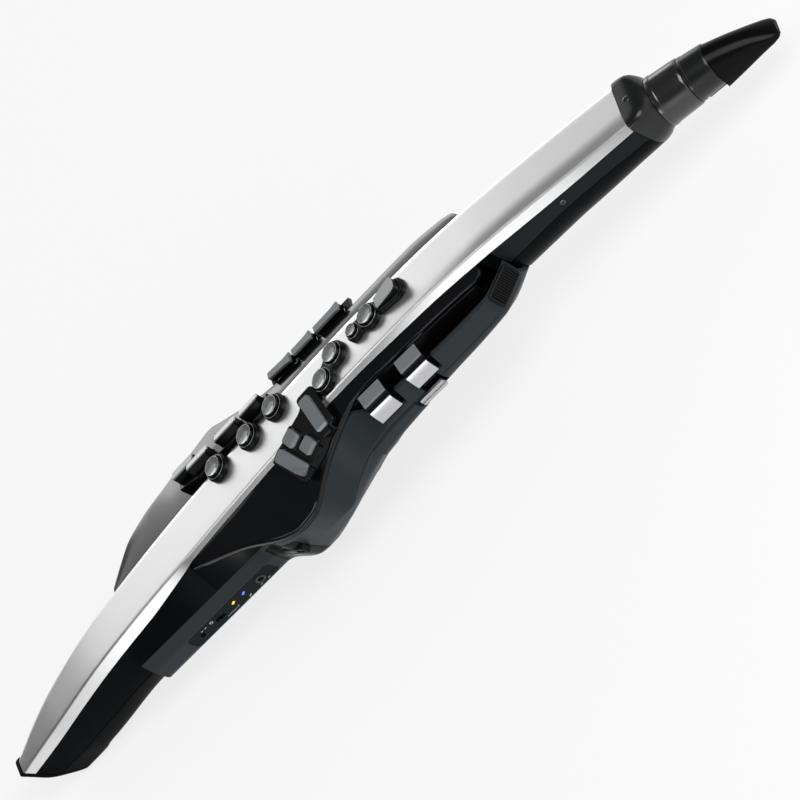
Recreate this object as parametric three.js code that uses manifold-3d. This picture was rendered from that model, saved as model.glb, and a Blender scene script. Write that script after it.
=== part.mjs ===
// A digital wind controller: a long hollow body held upright like a saxophone, with a mouthpiece, key
// touches for both hands and a thumb hook behind. It lies here on its back, keys up.
// Millimetres. X runs from the bell tip to the mouthpiece, Z points out of the key face, and the
// player's right is at minus Y. The pieces are laid out from the bell tip; at the end the whole group
// is set on its base.

import * as THREE from 'three';
import { mergeVertices } from 'three/addons/utils/BufferGeometryUtils.js';
import Module from 'manifold-3d';

const wasm = await Module();
wasm.setup();

// Driving sizes of the whole instrument
const LENGTH = 670;
const FACE_RISE = 58.8;
const PANEL_WIDTH = 33.4;
// Unit of the key stacks: as wide as half the front panel here, but it follows the length, so that the
// keys keep their distances from each other along the body
const KEY_SPREAD_SHARE = 0.024925;
const KEY_SPREAD = LENGTH * KEY_SPREAD_SHARE;
const BELLY_DEPTH = 24.4;
const GAP = 0.3;
const WALL = 2.2;
const SHELL_WALL = 2.6;
const OVERRUN = 5;
const MERGE_REACH = 1e-4;

// Silver front panel
const FLANGE_OUT = 4;
const FLANGE_DROP = 7.4;
const LEFT_EDGE_OUT = 0.8;
const LEFT_DROP = 5;
const LEFT_SHOULDER = 2.4;
const RIGHT_WING = 40;
const RIGHT_FALL = 12.5;
const LEFT_WING = 39.5;
const LEFT_FALL = 6.5;
const SKIRT = 3;

// Rear shell
const BELLY_WIDTH = 40;
const SHELL_REACH = 51;
const LOWER_REACH = 45;
const PALM_RIM_OUT = 40;
const PALM_RIM_UP = 45;
const POD_RIM_OUT = 30;
const POD_RIM_UP = 21;
const SHELL_SIDE_UP = 33;
const SHELL_LOWER_UP = 26.5;
const LEFT_SIDE_SHARE = 0.92;

// Shares of the length at which the pieces begin and end
const PANEL_START_SHARE = 0.009;
const PANEL_END_SHARE = 0.858;
const POD_START_SHARE = 0.176;
const POD_END_SHARE = 0.331;
const BELLY_SHARE = 0.367;
const PALM_START_SHARE = 0.485;
const PALM_BLEND_SHARE = 0.515;
const SHELL_END_SHARE = 0.688;
const RIGHT_WING_START_SHARE = 0.279;
const RIGHT_WING_END_SHARE = 0.672;
const LEFT_WING_START_SHARE = 0.188;
const LEFT_WING_END_SHARE = 0.672;

// Each table holds [share of the length, share of the size that the curve follows]
const FACE_SHARES = [
  [0.009, 0.085], [0.042, 0.22], [0.078, 0.347], [0.148, 0.544], [0.227, 0.685], [0.301, 0.784],
  [0.376, 0.871], [0.433, 0.925], [0.491, 0.969], [0.546, 0.993], [0.612, 1], [0.675, 0.976],
  [0.712, 0.942], [0.758, 0.884], [0.794, 0.833], [0.858, 0.738],
];
const HALF_SHARES = [
  [0.009, 0.4], [0.042, 0.617], [0.078, 0.778], [0.148, 0.9], [0.227, 0.96], [0.3, 1],
  [0.79, 0.994], [0.858, 0.958],
];
const FLANGE_OUT_SHARES = [
  [0.009, 0.6], [0.078, 0.75], [0.21, 0.875], [0.287, 0.75], [0.493, 0.75], [0.597, 0.825],
  [0.746, 1], [0.858, 0.875],
];
const FLANGE_DROP_SHARES = [
  [0.009, 0.68], [0.078, 0.946], [0.21, 1], [0.246, 0.81], [0.27, 0.595], [0.287, 0.378],
  [0.373, 0.365], [0.493, 0.405], [0.597, 0.676], [0.746, 1], [0.858, 0.784],
];
const RIGHT_WING_SHARES = [
  [0.278, 0.07], [0.333, 0.505], [0.382, 0.955], [0.397, 1], [0.41, 0.99], [0.422, 0.925],
  [0.433, 0.775], [0.457, 0.525], [0.485, 0.33], [0.501, 0.242], [0.522, 0.2], [0.672, 0.188],
];
const RIGHT_FALL_SHARES = [
  [0.278, 0.096], [0.333, 0.36], [0.382, 0.864], [0.397, 1], [0.41, 0.984], [0.422, 0.896],
  [0.457, 0.56], [0.485, 0.328], [0.501, 0.232], [0.522, 0.192], [0.672, 0.16],
];
const LEFT_WING_SHARES = [
  [0.18, 0.08], [0.207, 0.45], [0.222, 0.62], [0.24, 0.71], [0.272, 0.835], [0.296, 0.91],
  [0.32, 0.935], [0.343, 0.96], [0.36, 0.86], [0.412, 0.53], [0.464, 0.34], [0.528, 0.32],
  [0.615, 0.34], [0.648, 0.3], [0.666, 0.23], [0.675, 0.06],
];
const LEFT_FALL_SHARES = [
  [0.187, 0.154], [0.246, 0.385], [0.284, 0.846], [0.321, 1], [0.358, 0.969], [0.406, 0.769],
  [0.469, 0.369], [0.642, 0.308], [0.673, 0.154],
];
const BOTTOM_SHARES = [
  [0.176, -0.451], [0.331, -0.451], [0.349, -0.779], [0.36, -1], [0.375, -1], [0.388, -0.922],
  [0.407, -0.697], [0.43, -0.533], [0.454, -0.369], [0.485, -0.123], [0.515, 0.041], [0.607, 0.184],
  [0.657, 0.3], [0.688, 0.55],
];
const BOTTOM_HALF_SHARES = [
  [0.176, 0.9], [0.331, 0.9], [0.367, 1], [0.433, 1], [0.515, 0.95], [0.657, 0.85], [0.688, 0.65],
];
const PALM_OUT_SHARES = [
  [0.485, 0.925], [0.515, 0.975], [0.607, 1], [0.657, 0.963], [0.675, 0.775], [0.688, 0.575],
];
const PALM_UP_SHARES = [[0.485, 1], [0.515, 0.97], [0.607, 0.955], [0.657, 0.944], [0.688, 0.88]];
const SIDE_OUT_SHARES = [
  [0.176, 0.598], [0.331, 0.598], [0.367, 0.98], [0.391, 1], [0.424, 0.99], [0.454, 0.951],
  [0.485, 0.922], [0.515, 0.912], [0.607, 0.902], [0.657, 0.853], [0.675, 0.686], [0.688, 0.49],
];
const SIDE_UP_SHARES = [
  [0.176, 0.303], [0.331, 0.303], [0.367, 0.424], [0.424, 0.364], [0.454, 0.667], [0.485, 0.909],
  [0.515, 0.985], [0.607, 1], [0.657, 0.97], [0.688, 0.848],
];
const LOWER_OUT_SHARES = [
  [0.176, 0.622], [0.331, 0.622], [0.367, 0.933], [0.391, 0.978], [0.43, 1], [0.515, 1],
  [0.607, 0.989], [0.657, 0.933], [0.675, 0.733], [0.688, 0.489],
];
const LOWER_UP_SHARES = [
  [0.176, -0.132], [0.331, -0.132], [0.367, -0.17], [0.391, -0.057], [0.41, 0.038], [0.43, 0.226],
  [0.454, 0.479], [0.49, 0.736], [0.515, 0.83], [0.607, 0.981], [0.657, 1], [0.688, 0.83],
];

// Monotone cubic through hand-chosen shares: it never bulges past its own points
function curve(shares, alongSize, acrossSize) {
  const xs = shares.map((s) => s[0] * alongSize);
  const ys = shares.map((s) => s[1] * acrossSize);
  const rise = xs.slice(1).map((x, i) => (ys[i + 1] - ys[i]) / (x - xs[i]));
  const slope = xs.map((x, i) => {
    if (i === 0) return rise[0];
    if (i === xs.length - 1) return rise[i - 1];
    if (rise[i - 1] * rise[i] <= 0) return 0;
    return (2 * rise[i - 1] * rise[i]) / (rise[i - 1] + rise[i]);
  });
  return (x) => {
    if (x <= xs[0]) return ys[0];
    if (x >= xs[xs.length - 1]) return ys[ys.length - 1];
    let i = 0;
    while (x > xs[i + 1]) i += 1;
    const span = xs[i + 1] - xs[i];
    const t = (x - xs[i]) / span;
    const a = (1 + 2 * t) * (1 - t) ** 2 * ys[i] + t * (1 - t) ** 2 * span * slope[i];
    return a + t * t * (3 - 2 * t) * ys[i + 1] + t * t * (t - 1) * span * slope[i + 1];
  };
}

const along = (share) => share * LENGTH;
const mix = (a, b, t) => a + (b - a) * t;
const mixPoint = (p, q, t) => [mix(p[0], q[0], t), mix(p[1], q[1], t)];
const smooth = (x, from, to) => THREE.MathUtils.smoothstep(x, from, to);

const face = curve(FACE_SHARES, LENGTH, FACE_RISE);
const half = curve(HALF_SHARES, LENGTH, PANEL_WIDTH / 2);
const flangeOut = curve(FLANGE_OUT_SHARES, LENGTH, FLANGE_OUT);
const flangeDrop = curve(FLANGE_DROP_SHARES, LENGTH, FLANGE_DROP);
const rightReach = curve(RIGHT_WING_SHARES, LENGTH, RIGHT_WING);
const rightFall = curve(RIGHT_FALL_SHARES, LENGTH, RIGHT_FALL);
const leftReach = curve(LEFT_WING_SHARES, LENGTH, LEFT_WING);
const leftFall = curve(LEFT_FALL_SHARES, LENGTH, LEFT_FALL);
const bottom = curve(BOTTOM_SHARES, LENGTH, BELLY_DEPTH);
const bottomHalf = curve(BOTTOM_HALF_SHARES, LENGTH, BELLY_WIDTH / 2);
const palmOut = curve(PALM_OUT_SHARES, LENGTH, PALM_RIM_OUT);
const palmUp = curve(PALM_UP_SHARES, LENGTH, PALM_RIM_UP);
const sideOut = curve(SIDE_OUT_SHARES, LENGTH, SHELL_REACH);
const sideUp = curve(SIDE_UP_SHARES, LENGTH, SHELL_SIDE_UP);
const lowerOut = curve(LOWER_OUT_SHARES, LENGTH, LOWER_REACH);
const lowerUp = curve(LOWER_UP_SHARES, LENGTH, SHELL_LOWER_UP);

// Lines that run along the body, each as [y, z] at x
const ridge = (x) => [-half(x), face(x)];
const silverEdge = (x) => [-half(x) - flangeOut(x), face(x) - flangeDrop(x)];
const leftEdge = (x) => [half(x) + LEFT_EDGE_OUT, face(x) - LEFT_DROP];
const rightWingEdge = (x) => [silverEdge(x)[0] - rightReach(x), silverEdge(x)[1] - GAP - rightFall(x)];
const leftWingEdge = (x) => [leftEdge(x)[0] + leftReach(x), leftEdge(x)[1] - GAP - leftFall(x)];
const rightSkirt = (x) => [rightWingEdge(x)[0], rightWingEdge(x)[1] - SKIRT];
const leftSkirt = (x) => [leftWingEdge(x)[0], leftWingEdge(x)[1] - SKIRT];
const podRim = () => [-POD_RIM_OUT, POD_RIM_UP];

function rightRim(x) {
  const skirt = rightSkirt(x);
  const wing = [skirt[0], skirt[1] - GAP];
  const belly = mixPoint(podRim(), wing, smooth(x, along(POD_END_SHARE), along(BELLY_SHARE)));
  const blend = smooth(x, along(PALM_START_SHARE), along(PALM_BLEND_SHARE));
  return mixPoint(belly, [-palmOut(x), palmUp(x)], blend);
}

function leftRim(x) {
  const skirt = leftSkirt(x);
  const wing = [skirt[0], skirt[1] - GAP];
  return mixPoint([POD_RIM_OUT, POD_RIM_UP], wing, smooth(x, along(POD_END_SHARE), along(BELLY_SHARE)));
}

// Signed volume of an indexed geometry
function volumeOf(flat, index) {
  let sum = 0;
  for (let i = 0; i < index.length; i += 3) {
    const [a, b, c] = [0, 1, 2].map((k) => new THREE.Vector3().fromArray(flat, index[i + k] * 3));
    sum += a.dot(b.cross(c)) / 6;
  }
  return sum;
}

// Makes one closed solid from rings of [x, y, z] points, all with the same count
function loftRings(rings) {
  const count = rings[0].length;
  const flat = rings.flat(2);
  const index = [];
  for (let r = 0; r < rings.length - 1; r += 1) {
    for (let i = 0; i < count; i += 1) {
      const a = r * count + i;
      const b = r * count + ((i + 1) % count);
      index.push(a, b, a + count, b, b + count, a + count);
    }
  }
  for (const r of [0, rings.length - 1]) {
    const outline = rings[r].map((p) => new THREE.Vector2(p[1], p[2]));
    const forward = THREE.ShapeUtils.area(outline) > 0;
    for (const [a, b, c] of THREE.ShapeUtils.triangulateShape(outline, [])) {
      const same = THREE.ShapeUtils.area([outline[a], outline[b], outline[c]]) > 0 === forward;
      const first = r * count + a;
      if (same === (r > 0)) index.push(first, r * count + b, r * count + c);
      else index.push(first, r * count + c, r * count + b);
    }
  }
  if (volumeOf(flat, index) < 0) index.reverse();
  const geometry = new THREE.BufferGeometry();
  geometry.setAttribute('position', new THREE.Float32BufferAttribute(flat, 3));
  geometry.setIndex(index);
  geometry.computeVertexNormals();
  return geometry;
}

// Stations on one common grid, so that neighbours share their facets, with both ends moved in
const GRID_SHARE = 0.015;
function stations(fromShare, toShare, insetStart = 0, insetEnd = 0) {
  const from = along(fromShare) + insetStart;
  const to = along(toShare) - insetEnd;
  const step = along(GRID_SHARE);
  const inner = [];
  for (let i = Math.ceil(from / step); i * step < to; i += 1) {
    if (i * step - from > step / 4 && to - i * step > step / 4) inner.push(i * step);
  }
  return [from, ...inner, to];
}

const loft = (xs, section) => loftRings(xs.map((x) => section(x).map(([y, z]) => [x, y, z])));

// Booleans
function toSolid(geometry) {
  const bare = geometry.clone();
  for (const name of Object.keys(bare.attributes)) {
    if (name !== 'position') bare.deleteAttribute(name);
  }
  const merged = mergeVertices(bare, MERGE_REACH);
  return new wasm.Manifold(new wasm.Mesh({
    numProp: 3,
    vertProperties: Float32Array.from(merged.attributes.position.array),
    triVerts: Uint32Array.from(merged.index.array),
  }));
}

function fromSolid(solid) {
  const mesh = solid.getMesh();
  const geometry = new THREE.BufferGeometry();
  geometry.setAttribute('position', new THREE.BufferAttribute(Float32Array.from(mesh.vertProperties), 3));
  geometry.setIndex(new THREE.BufferAttribute(Uint32Array.from(mesh.triVerts), 1));
  geometry.computeVertexNormals();
  return geometry;
}

const cut = (geometry, ...tools) => fromSolid(
  tools.reduce((solid, tool) => solid.subtract(toSolid(tool)), toSolid(geometry)));
const join = (geometry, ...more) => fromSolid(
  more.reduce((solid, other) => solid.add(toSolid(other)), toSolid(geometry)));

const GROUP = new THREE.Group();
const FINISHES = {
  silver: { color: 0xd9dadb, roughness: 0.3, metalness: 0.85 },
  gloss: { color: 0x17181c, roughness: 0.12, metalness: 0 },
  shell: { color: 0x3c4145, roughness: 0.5, metalness: 0 },
  battery: { color: 0x202024, roughness: 0.5, metalness: 0.3 },
  dark: { color: 0x0c0c0e, roughness: 0.45, metalness: 0 },
  touch: { color: 0x6c7275, roughness: 0.35, metalness: 0.1 },
  chrome: { color: 0xe4e6e8, roughness: 0.12, metalness: 1 },
  board: { color: 0x1f5a3a, roughness: 0.6, metalness: 0 },
};

function place(name, geometry, finish, parent = GROUP) {
  const mesh = new THREE.Mesh(geometry, new THREE.MeshStandardMaterial(FINISHES[finish]));
  mesh.name = name;
  parent.add(mesh);
  return mesh;
}

// What lies below the front panel: the boundary that it rests on, from the right flange to the left edge
function underPanel(x) {
  const [ry, rz] = silverEdge(x);
  const [ly, lz] = leftEdge(x);
  const inset = half(x) - WALL - 2 * GAP;
  const crown = face(x) - WALL - GAP;
  return [
    [ry, rz - GAP], [ry + WALL + 2 * GAP, rz - GAP], [-inset, crown],
    [inset, crown], [ly - WALL - 2 * GAP, lz - GAP], [ly, lz - GAP],
  ];
}

// Front panel: a bright cover with a sharp ridge on the right, a flange below it and a rolled left edge
function frontPanelSection(x) {
  const [ry, rz] = silverEdge(x);
  const [ly, lz] = leftEdge(x);
  const shoulder = half(x) - LEFT_SHOULDER;
  return [
    [ry, rz], ridge(x), [shoulder, face(x)],
    [shoulder + LEFT_SHOULDER * 0.7, face(x) - LEFT_SHOULDER * 0.3],
    [half(x), face(x) - LEFT_SHOULDER], [ly, lz], [ly - WALL, lz],
    [half(x) - WALL, face(x) - WALL], [-half(x) + WALL, face(x) - WALL], [ry + WALL, rz],
  ];
}

// The bell end is cut on a slant that fades out along the tube
const BELL_SLANT = 0.95;
const BELL_SLANT_END_SHARE = 0.09;
const BELL_CAP = 5;
const slant = (x) => BELL_SLANT * (1 - smooth(x, along(PANEL_START_SHARE), along(BELL_SLANT_END_SHARE)));
const slanted = (x, points) => points.map(([y, z]) => [x + slant(x) * (face(x) - z), y, z]);
const bellStations = [0.009, 0.022, 0.038, 0.056, 0.075, 0.1, 0.125, 0.15].map(along);

const BELL_MID = 23.5;
const BELL_MID_SHARES = [[0.009, 0.56], [0.045, 0.68], [0.09, 0.77], [0.15, 0.89], [0.176, 1]];
const BELL_MID_UP = 8;
const BELL_MID_UP_SHARES = [[0.009, -1], [0.045, -0.75], [0.09, -0.25], [0.15, 0.5], [0.176, 0.87]];
const BELL_FOOT = 16;
const BELL_FOOT_SHARES = [[0.009, 0.7], [0.045, 0.76], [0.09, 0.82], [0.15, 0.92], [0.176, 1]];
const BELL_BOTTOM_SHARES = [
  [0.009, -1.012], [0.045, -0.943], [0.09, -0.836], [0.15, -0.545], [0.176, -0.451],
];
const bellMid = curve(BELL_MID_SHARES, LENGTH, BELL_MID);
const bellMidUp = curve(BELL_MID_UP_SHARES, LENGTH, BELL_MID_UP);
const bellFoot = curve(BELL_FOOT_SHARES, LENGTH, BELL_FOOT);
const bellBottom = curve(BELL_BOTTOM_SHARES, LENGTH, BELLY_DEPTH);

// Lower tube: the panel's underside above, rounded flanks and a flat foot below
function bellSection(x) {
  const low = bellBottom(x);
  const mid = [bellMid(x), bellMidUp(x)];
  const foot = [bellFoot(x), low];
  const flank = [mix(mid[0], foot[0], 0.42), mix(mid[1], foot[1], 0.62)];
  return [
    ...underPanel(x), mid, flank, foot, [-foot[0], low], [-flank[0], flank[1]], [-mid[0], mid[1]],
  ];
}

const lerpRing = (x, section, inset) => section(x).map(([y, z]) => {
  const shrink = 1 - inset / bellMid(x);
  return [y * shrink, z];
});

place('front_panel', loftRings([
  ...bellStations,
  ...stations(0.165, PANEL_END_SHARE),
].map((x) => slanted(x, frontPanelSection(x)))), 'silver');

place('bell_tube', loftRings([
  ...bellStations,
  along(POD_START_SHARE) - GAP,
].map((x) => slanted(x, bellSection(x)))), 'gloss');

// End cap: follows the slanted cut and rounds inwards
function bellCapRing(back, inset) {
  const x = along(PANEL_START_SHARE);
  const outer = lerpRing(x, bellSection, inset);
  const top = face(x) - inset;
  const ring = [
    [silverEdge(x)[0] + inset, silverEdge(x)[1]], [-half(x) + inset, top], [half(x) - inset, top],
    [leftEdge(x)[0] - inset, leftEdge(x)[1]], ...outer.slice(6),
  ];
  const lift = (z) => Math.max(z, bellBottom(x) + inset);
  return ring.map(([y, z]) => [x - back + slant(x) * (face(x) - z), y, lift(z)]);
}
const BELL_CAP_ROUND = 2;
place('bell_end_cap', loftRings([
  bellCapRing(BELL_CAP, BELL_CAP_ROUND), bellCapRing(BELL_CAP * 0.7, BELL_CAP_ROUND * 0.3),
  bellCapRing(GAP * 2, 0),
]), 'dark');

// Glossy wings
function wingSection(side, edge, tip) {
  return (x) => {
    const [ey, ez] = edge(x);
    const [ty, tz] = tip(x);
    const top = ez - GAP;
    const seat = ey - side * WALL;
    return [
      [seat, top], [ey, top], [ty, tz], [ty, tz - SKIRT], [ty - side * WALL, tz - SKIRT],
      [ty - side * WALL, tz - WALL], [seat, top - WALL],
    ];
  };
}
place('right_wing_panel', loft(stations(RIGHT_WING_START_SHARE, RIGHT_WING_END_SHARE),
  wingSection(-1, silverEdge, rightWingEdge)), 'gloss');
place('left_wing_panel', loft(stations(LEFT_WING_START_SHARE, LEFT_WING_END_SHARE),
  wingSection(1, leftEdge, leftWingEdge)), 'gloss');

// Rear shell: an open tray from the pod over the belly to the neck
function shellSection(x) {
  const right = rightRim(x);
  const left = leftRim(x);
  const low = bottom(x);
  const outer = [
    right, [-sideOut(x), sideUp(x)], [-lowerOut(x), lowerUp(x)], [-bottomHalf(x), low],
    [bottomHalf(x), low], [LEFT_SIDE_SHARE * lowerOut(x), lowerUp(x)],
    [LEFT_SIDE_SHARE * sideOut(x), sideUp(x)], left,
  ];
  const w = SHELL_WALL;
  const inner = [
    [left[0] - w, left[1]], [LEFT_SIDE_SHARE * sideOut(x) - w, sideUp(x)],
    [LEFT_SIDE_SHARE * lowerOut(x) - w, lowerUp(x) + w / 2], [bottomHalf(x) - w / 2, low + w],
    [-bottomHalf(x) + w / 2, low + w], [-lowerOut(x) + w, lowerUp(x) + w / 2], [-sideOut(x) + w, sideUp(x)],
    [right[0] + w, right[1]],
  ];
  return [...outer, ...inner];
}
const shellBlank = loft(stations(POD_START_SHARE, SHELL_END_SHARE), shellSection);

// Lower side panels: glossy faces between the wings and the pod's rim
const PANEL_NOTCH = 4;
function lowerPanelSection(side, edge, skirt, rim, wingStartShare) {
  const notchEnd = along(wingStartShare) - 2 * GAP;
  return (x) => {
    const [ey, ez] = edge(x);
    const [sy, sz] = skirt(x);
    const [ty, tz] = mixPoint([ey, ez - GAP], [sy, sz - GAP], smooth(x, notchEnd - PANEL_NOTCH, notchEnd));
    const [ry, rz] = rim(x);
    return [[ty, tz], [ry, rz + GAP], [ry - side * WALL, rz + GAP], [ty - side * WALL, tz]];
  };
}
const LOWER_PANEL_END_SHARE = 0.359;
function withNotch(xs, wingStartShare) {
  const end = along(wingStartShare) - 2 * GAP;
  const kept = xs.filter((x) => x < end - 1.5 * PANEL_NOTCH || x > end + PANEL_NOTCH / 2);
  return [...kept, end - PANEL_NOTCH, end].sort((p, q) => p - q);
}
place('lower_right_panel', loft(
  withNotch(stations(POD_START_SHARE, LOWER_PANEL_END_SHARE, GAP), RIGHT_WING_START_SHARE),
  lowerPanelSection(-1, silverEdge, rightSkirt, rightRim, RIGHT_WING_START_SHARE)), 'gloss');
place('lower_left_panel', loft(
  withNotch(stations(POD_START_SHARE, LOWER_PANEL_END_SHARE, GAP), LEFT_WING_START_SHARE),
  lowerPanelSection(1, leftEdge, leftSkirt, leftRim, LEFT_WING_START_SHARE)), 'gloss');

// Well in which the palm keys work, between the right wing and the shell's rim
const WELL_START_SHARE = 0.5;
const WELL_END_SHARE = 0.659;
const WELL_WALL = 1.6;
function palmWellSection(x) {
  const [wy, wz] = rightSkirt(x);
  const top = wz - GAP;
  const floor = sideUp(x);
  const far = -(sideOut(x) - SHELL_WALL - 4 * GAP);
  return [
    [wy, top], [wy, floor], [far, floor], [far, floor - WELL_WALL], [wy + WELL_WALL, floor - WELL_WALL],
    [wy + WELL_WALL, top],
  ];
}
place('palm_key_well', loft(stations(WELL_START_SHARE, WELL_END_SHARE), palmWellSection), 'dark');

// Neck: a satin frame under the panel and a glossy half-round tube below it
const NECK_OVERHANG = 2.3;
const NECK_HALF = PANEL_WIDTH / 2 + NECK_OVERHANG;
const NECK_PART_UP = 32;
const NECK_PART_SHARES = [
  [0.688, 0.995], [0.75, 0.985], [0.775, 0.955], [0.846, 0.78], [0.858, 0.745],
];
const NECK_DEPTH = 25;
const NECK_DEPTH_SHARES = [[0.688, 0.96], [0.775, 1], [0.835, 0.88], [0.858, 0.82]];
const NECK_ARC_STEPS = 12;
const neckPart = curve(NECK_PART_SHARES, LENGTH, NECK_PART_UP);
const neckDepth = curve(NECK_DEPTH_SHARES, LENGTH, NECK_DEPTH);
const NECK_WALL = 3;
function neckFrameSection(x) {
  const part = neckPart(x);
  const inner = NECK_HALF - 1.5 * NECK_WALL;
  const roof = face(x) - WALL - GAP - NECK_WALL;
  return [...underPanel(x), [NECK_HALF, part], [inner, part], [inner, roof], [-inner, roof], [-inner, part],
    [-NECK_HALF, part]];
}
function neckTubeSection(x) {
  const top = neckPart(x) - GAP;
  const arc = (inset) => Array.from({ length: NECK_ARC_STEPS + 1 }, (_, i) => {
    const angle = Math.PI * (1 + i / NECK_ARC_STEPS);
    return [(NECK_HALF - inset) * Math.cos(angle), top + (neckDepth(x) - inset) * Math.sin(angle)];
  });
  return [...arc(0), ...arc(NECK_WALL).reverse()];
}
const neckXs = stations(SHELL_END_SHARE, PANEL_END_SHARE, GAP);
place('neck_frame', loft(neckXs, neckFrameSection), 'shell');
place('neck_tube', loft(neckXs, neckTubeSection), 'gloss');

// Rounded section: its lower half is an ellipse and its upper half has the given power, where 2 is an
// ellipse too and higher powers are squarer; below the floor it is cut flat
const ELLIPSE = 2;
function roundSection(count, halfWidth, low, high, power, floor = -Infinity) {
  const middle = (low + high) / 2;
  const bulge = (v, up) => Math.sign(v) * Math.abs(v) ** (ELLIPSE / (up ? power : ELLIPSE));
  return Array.from({ length: count }, (_, i) => {
    const angle = (2 * Math.PI * (i + 0.5)) / count;
    const up = Math.sin(angle) > 0;
    const z = middle + ((high - low) / 2) * bulge(Math.sin(angle), up);
    return [halfWidth * bulge(Math.cos(angle), up), Math.max(z, floor + i * FLOOR_STEP)];
  });
}
const FLOOR_STEP = 1e-3;
const ROUND_STEPS = 32;

// Collar, barrel and mouthpiece follow one falling axis
const COLLAR_END_SHARE = 0.8785;
const BARREL_END_SHARE = 0.9115;
const SHANK_END_SHARE = 0.937;
const TIP_SHARE = 0.9975;
const AXIS_UP = 21.7;
const AXIS_FALL_SHARE = 0.2;
const BARREL_RADIUS = 16.4;
const axisUp = (x) => AXIS_UP - AXIS_FALL_SHARE * (x - along(COLLAR_END_SHARE));
const COLLAR_HALF = 19.4;

function collarRing(x, share) {
  const low = neckPart(along(PANEL_END_SHARE)) - neckDepth(along(PANEL_END_SHARE));
  const high = face(along(PANEL_END_SHARE));
  const radius = BARREL_RADIUS * 0.985;
  return roundSection(ROUND_STEPS, mix(COLLAR_HALF, radius, share), mix(low, axisUp(x) - radius, share),
    mix(high, axisUp(x) + radius, share), mix(4, 2, share)).map(([y, z]) => [x, y, z]);
}
const collarStart = along(PANEL_END_SHARE) + GAP;
const collarEnd = along(COLLAR_END_SHARE);
place('neck_collar', loftRings([[0, 0], [0.18, 0.02], [0.24, 0.12], [0.6, 0.5], [1, 1]].map(
  ([share, shrink]) => collarRing(mix(collarStart, collarEnd, share), shrink))), 'shell');

// [share of the barrel, share of its radius]
const BARREL_SHARES = [[0, 1], [0.14, 1], [0.17, 0.985], [0.93, 0.94], [1, 0.91]];
const barrelStart = collarEnd + GAP;
const barrelEnd = along(BARREL_END_SHARE);
const roundAt = (x, radius, floor) => roundSection(
  ROUND_STEPS, radius, axisUp(x) - radius, axisUp(x) + radius, 2, floor).map(([y, z]) => [x, y, z]);
place('mouthpiece_barrel', loftRings(BARREL_SHARES.map(
  ([share, size]) => roundAt(mix(barrelStart, barrelEnd, share), size * BARREL_RADIUS))), 'shell');

// The reed lies on a flat table that runs under the shank and the mouthpiece
const REED_HEEL = 2.2;
const REED_TIP = 0.7;
const REED_HALF = 8.6;
const TABLE_UP = 5.4;
const TABLE_FALL_SHARE = 0.118;
const table = (x) => TABLE_UP - TABLE_FALL_SHARE * (x - barrelEnd);
const shankStart = barrelEnd + GAP;
const shankEnd = along(SHANK_END_SHARE);
const SHANK_SHARES = [[0, 0.89], [0.9, 0.82], [1, 0.79]];
place('mouthpiece_shank', loftRings(SHANK_SHARES.map(([share, size]) => {
  const x = mix(shankStart, shankEnd, share);
  return roundAt(x, size * BARREL_RADIUS, table(x));
})), 'shell');

const TIP_HALF = 9.2;
const MOUTH_TOP = 27;
const MOUTH_TOP_SHARES = [[0.937, 1], [0.955, 0.8], [0.974, 0.54], [0.988, 0.28], [0.9975, 0.06]];
const MOUTH_HALF_SHARES = [
  [0.937, 1.42], [0.955, 1.28], [0.974, 1.1], [0.988, 0.99], [0.9945, 0.86], [0.9975, 0.55],
];
const mouthTop = curve(MOUTH_TOP_SHARES, LENGTH, MOUTH_TOP);
const mouthHalf = curve(MOUTH_HALF_SHARES, LENGTH, TIP_HALF);
const mouthXs = [0.937, 0.944, 0.951, 0.958, 0.966, 0.974, 0.982, 0.988, 0.992, 0.995, 0.9975].map(along);
place('mouthpiece', loftRings(mouthXs.map((x, i) => {
  const low = table(x);
  const begin = x + (i === 0 ? GAP : 0);
  return roundSection(ROUND_STEPS, mouthHalf(x), low - (mouthTop(x) - low) * 0.6, mouthTop(x), 2.2, low)
    .map(([y, z]) => [begin, y, z]);
})), 'gloss');

function reedRing(x, thick, halfWidth) {
  const top = table(x) - GAP;
  const foot = halfWidth * 0.9;
  return [[x, -halfWidth, top], [x, halfWidth, top], [x, foot, top - thick], [x, -foot, top - thick]];
}
const reedEnd = along(TIP_SHARE) - GAP * 3;
place('reed', loftRings([
  reedRing(shankStart + GAP, REED_HEEL, REED_HALF),
  reedRing(mix(shankStart, reedEnd, 0.35), REED_HEEL, REED_HALF),
  reedRing(mix(shankStart, reedEnd, 0.93), REED_TIP * 1.3, REED_HALF),
  reedRing(reedEnd, REED_TIP, REED_HALF * 0.6),
]), 'dark');

// Keys. A touch group stands on the face: its X runs along the body and its Z points out of the face
const CAP_RISE = 7;
const CAP_CLEAR = 0.35;
const BASE_HIGH = 5;
const TRAVEL = 2;
const FOOT_CLEAR = 0.6;
const ROUND_SIDES = 24;

const FACE_PROBE = along(GRID_SHARE) / 2;
const faceSlope = (x) => Math.atan2(face(x + FACE_PROBE) - face(x - FACE_PROBE), 2 * FACE_PROBE);
function touchGroup(x, y) {
  const group = new THREE.Group();
  group.position.set(x, y, face(x) + GAP);
  group.rotation.y = -faceSlope(x);
  GROUP.add(group);
  return group;
}

function lathe(profile, sides = ROUND_SIDES) {
  const geometry = new THREE.LatheGeometry(profile.map(([r, z]) => new THREE.Vector2(r, z)), sides);
  geometry.rotateX(Math.PI / 2);
  return geometry;
}

// Upright post from z = low to z = high
function post(radius, low, high, x = 0, y = 0, sides = ROUND_SIDES) {
  const geometry = new THREE.CylinderGeometry(radius, radius, high - low, sides);
  geometry.rotateX(Math.PI / 2);
  geometry.translate(x, y, (low + high) / 2);
  return geometry;
}

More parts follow.
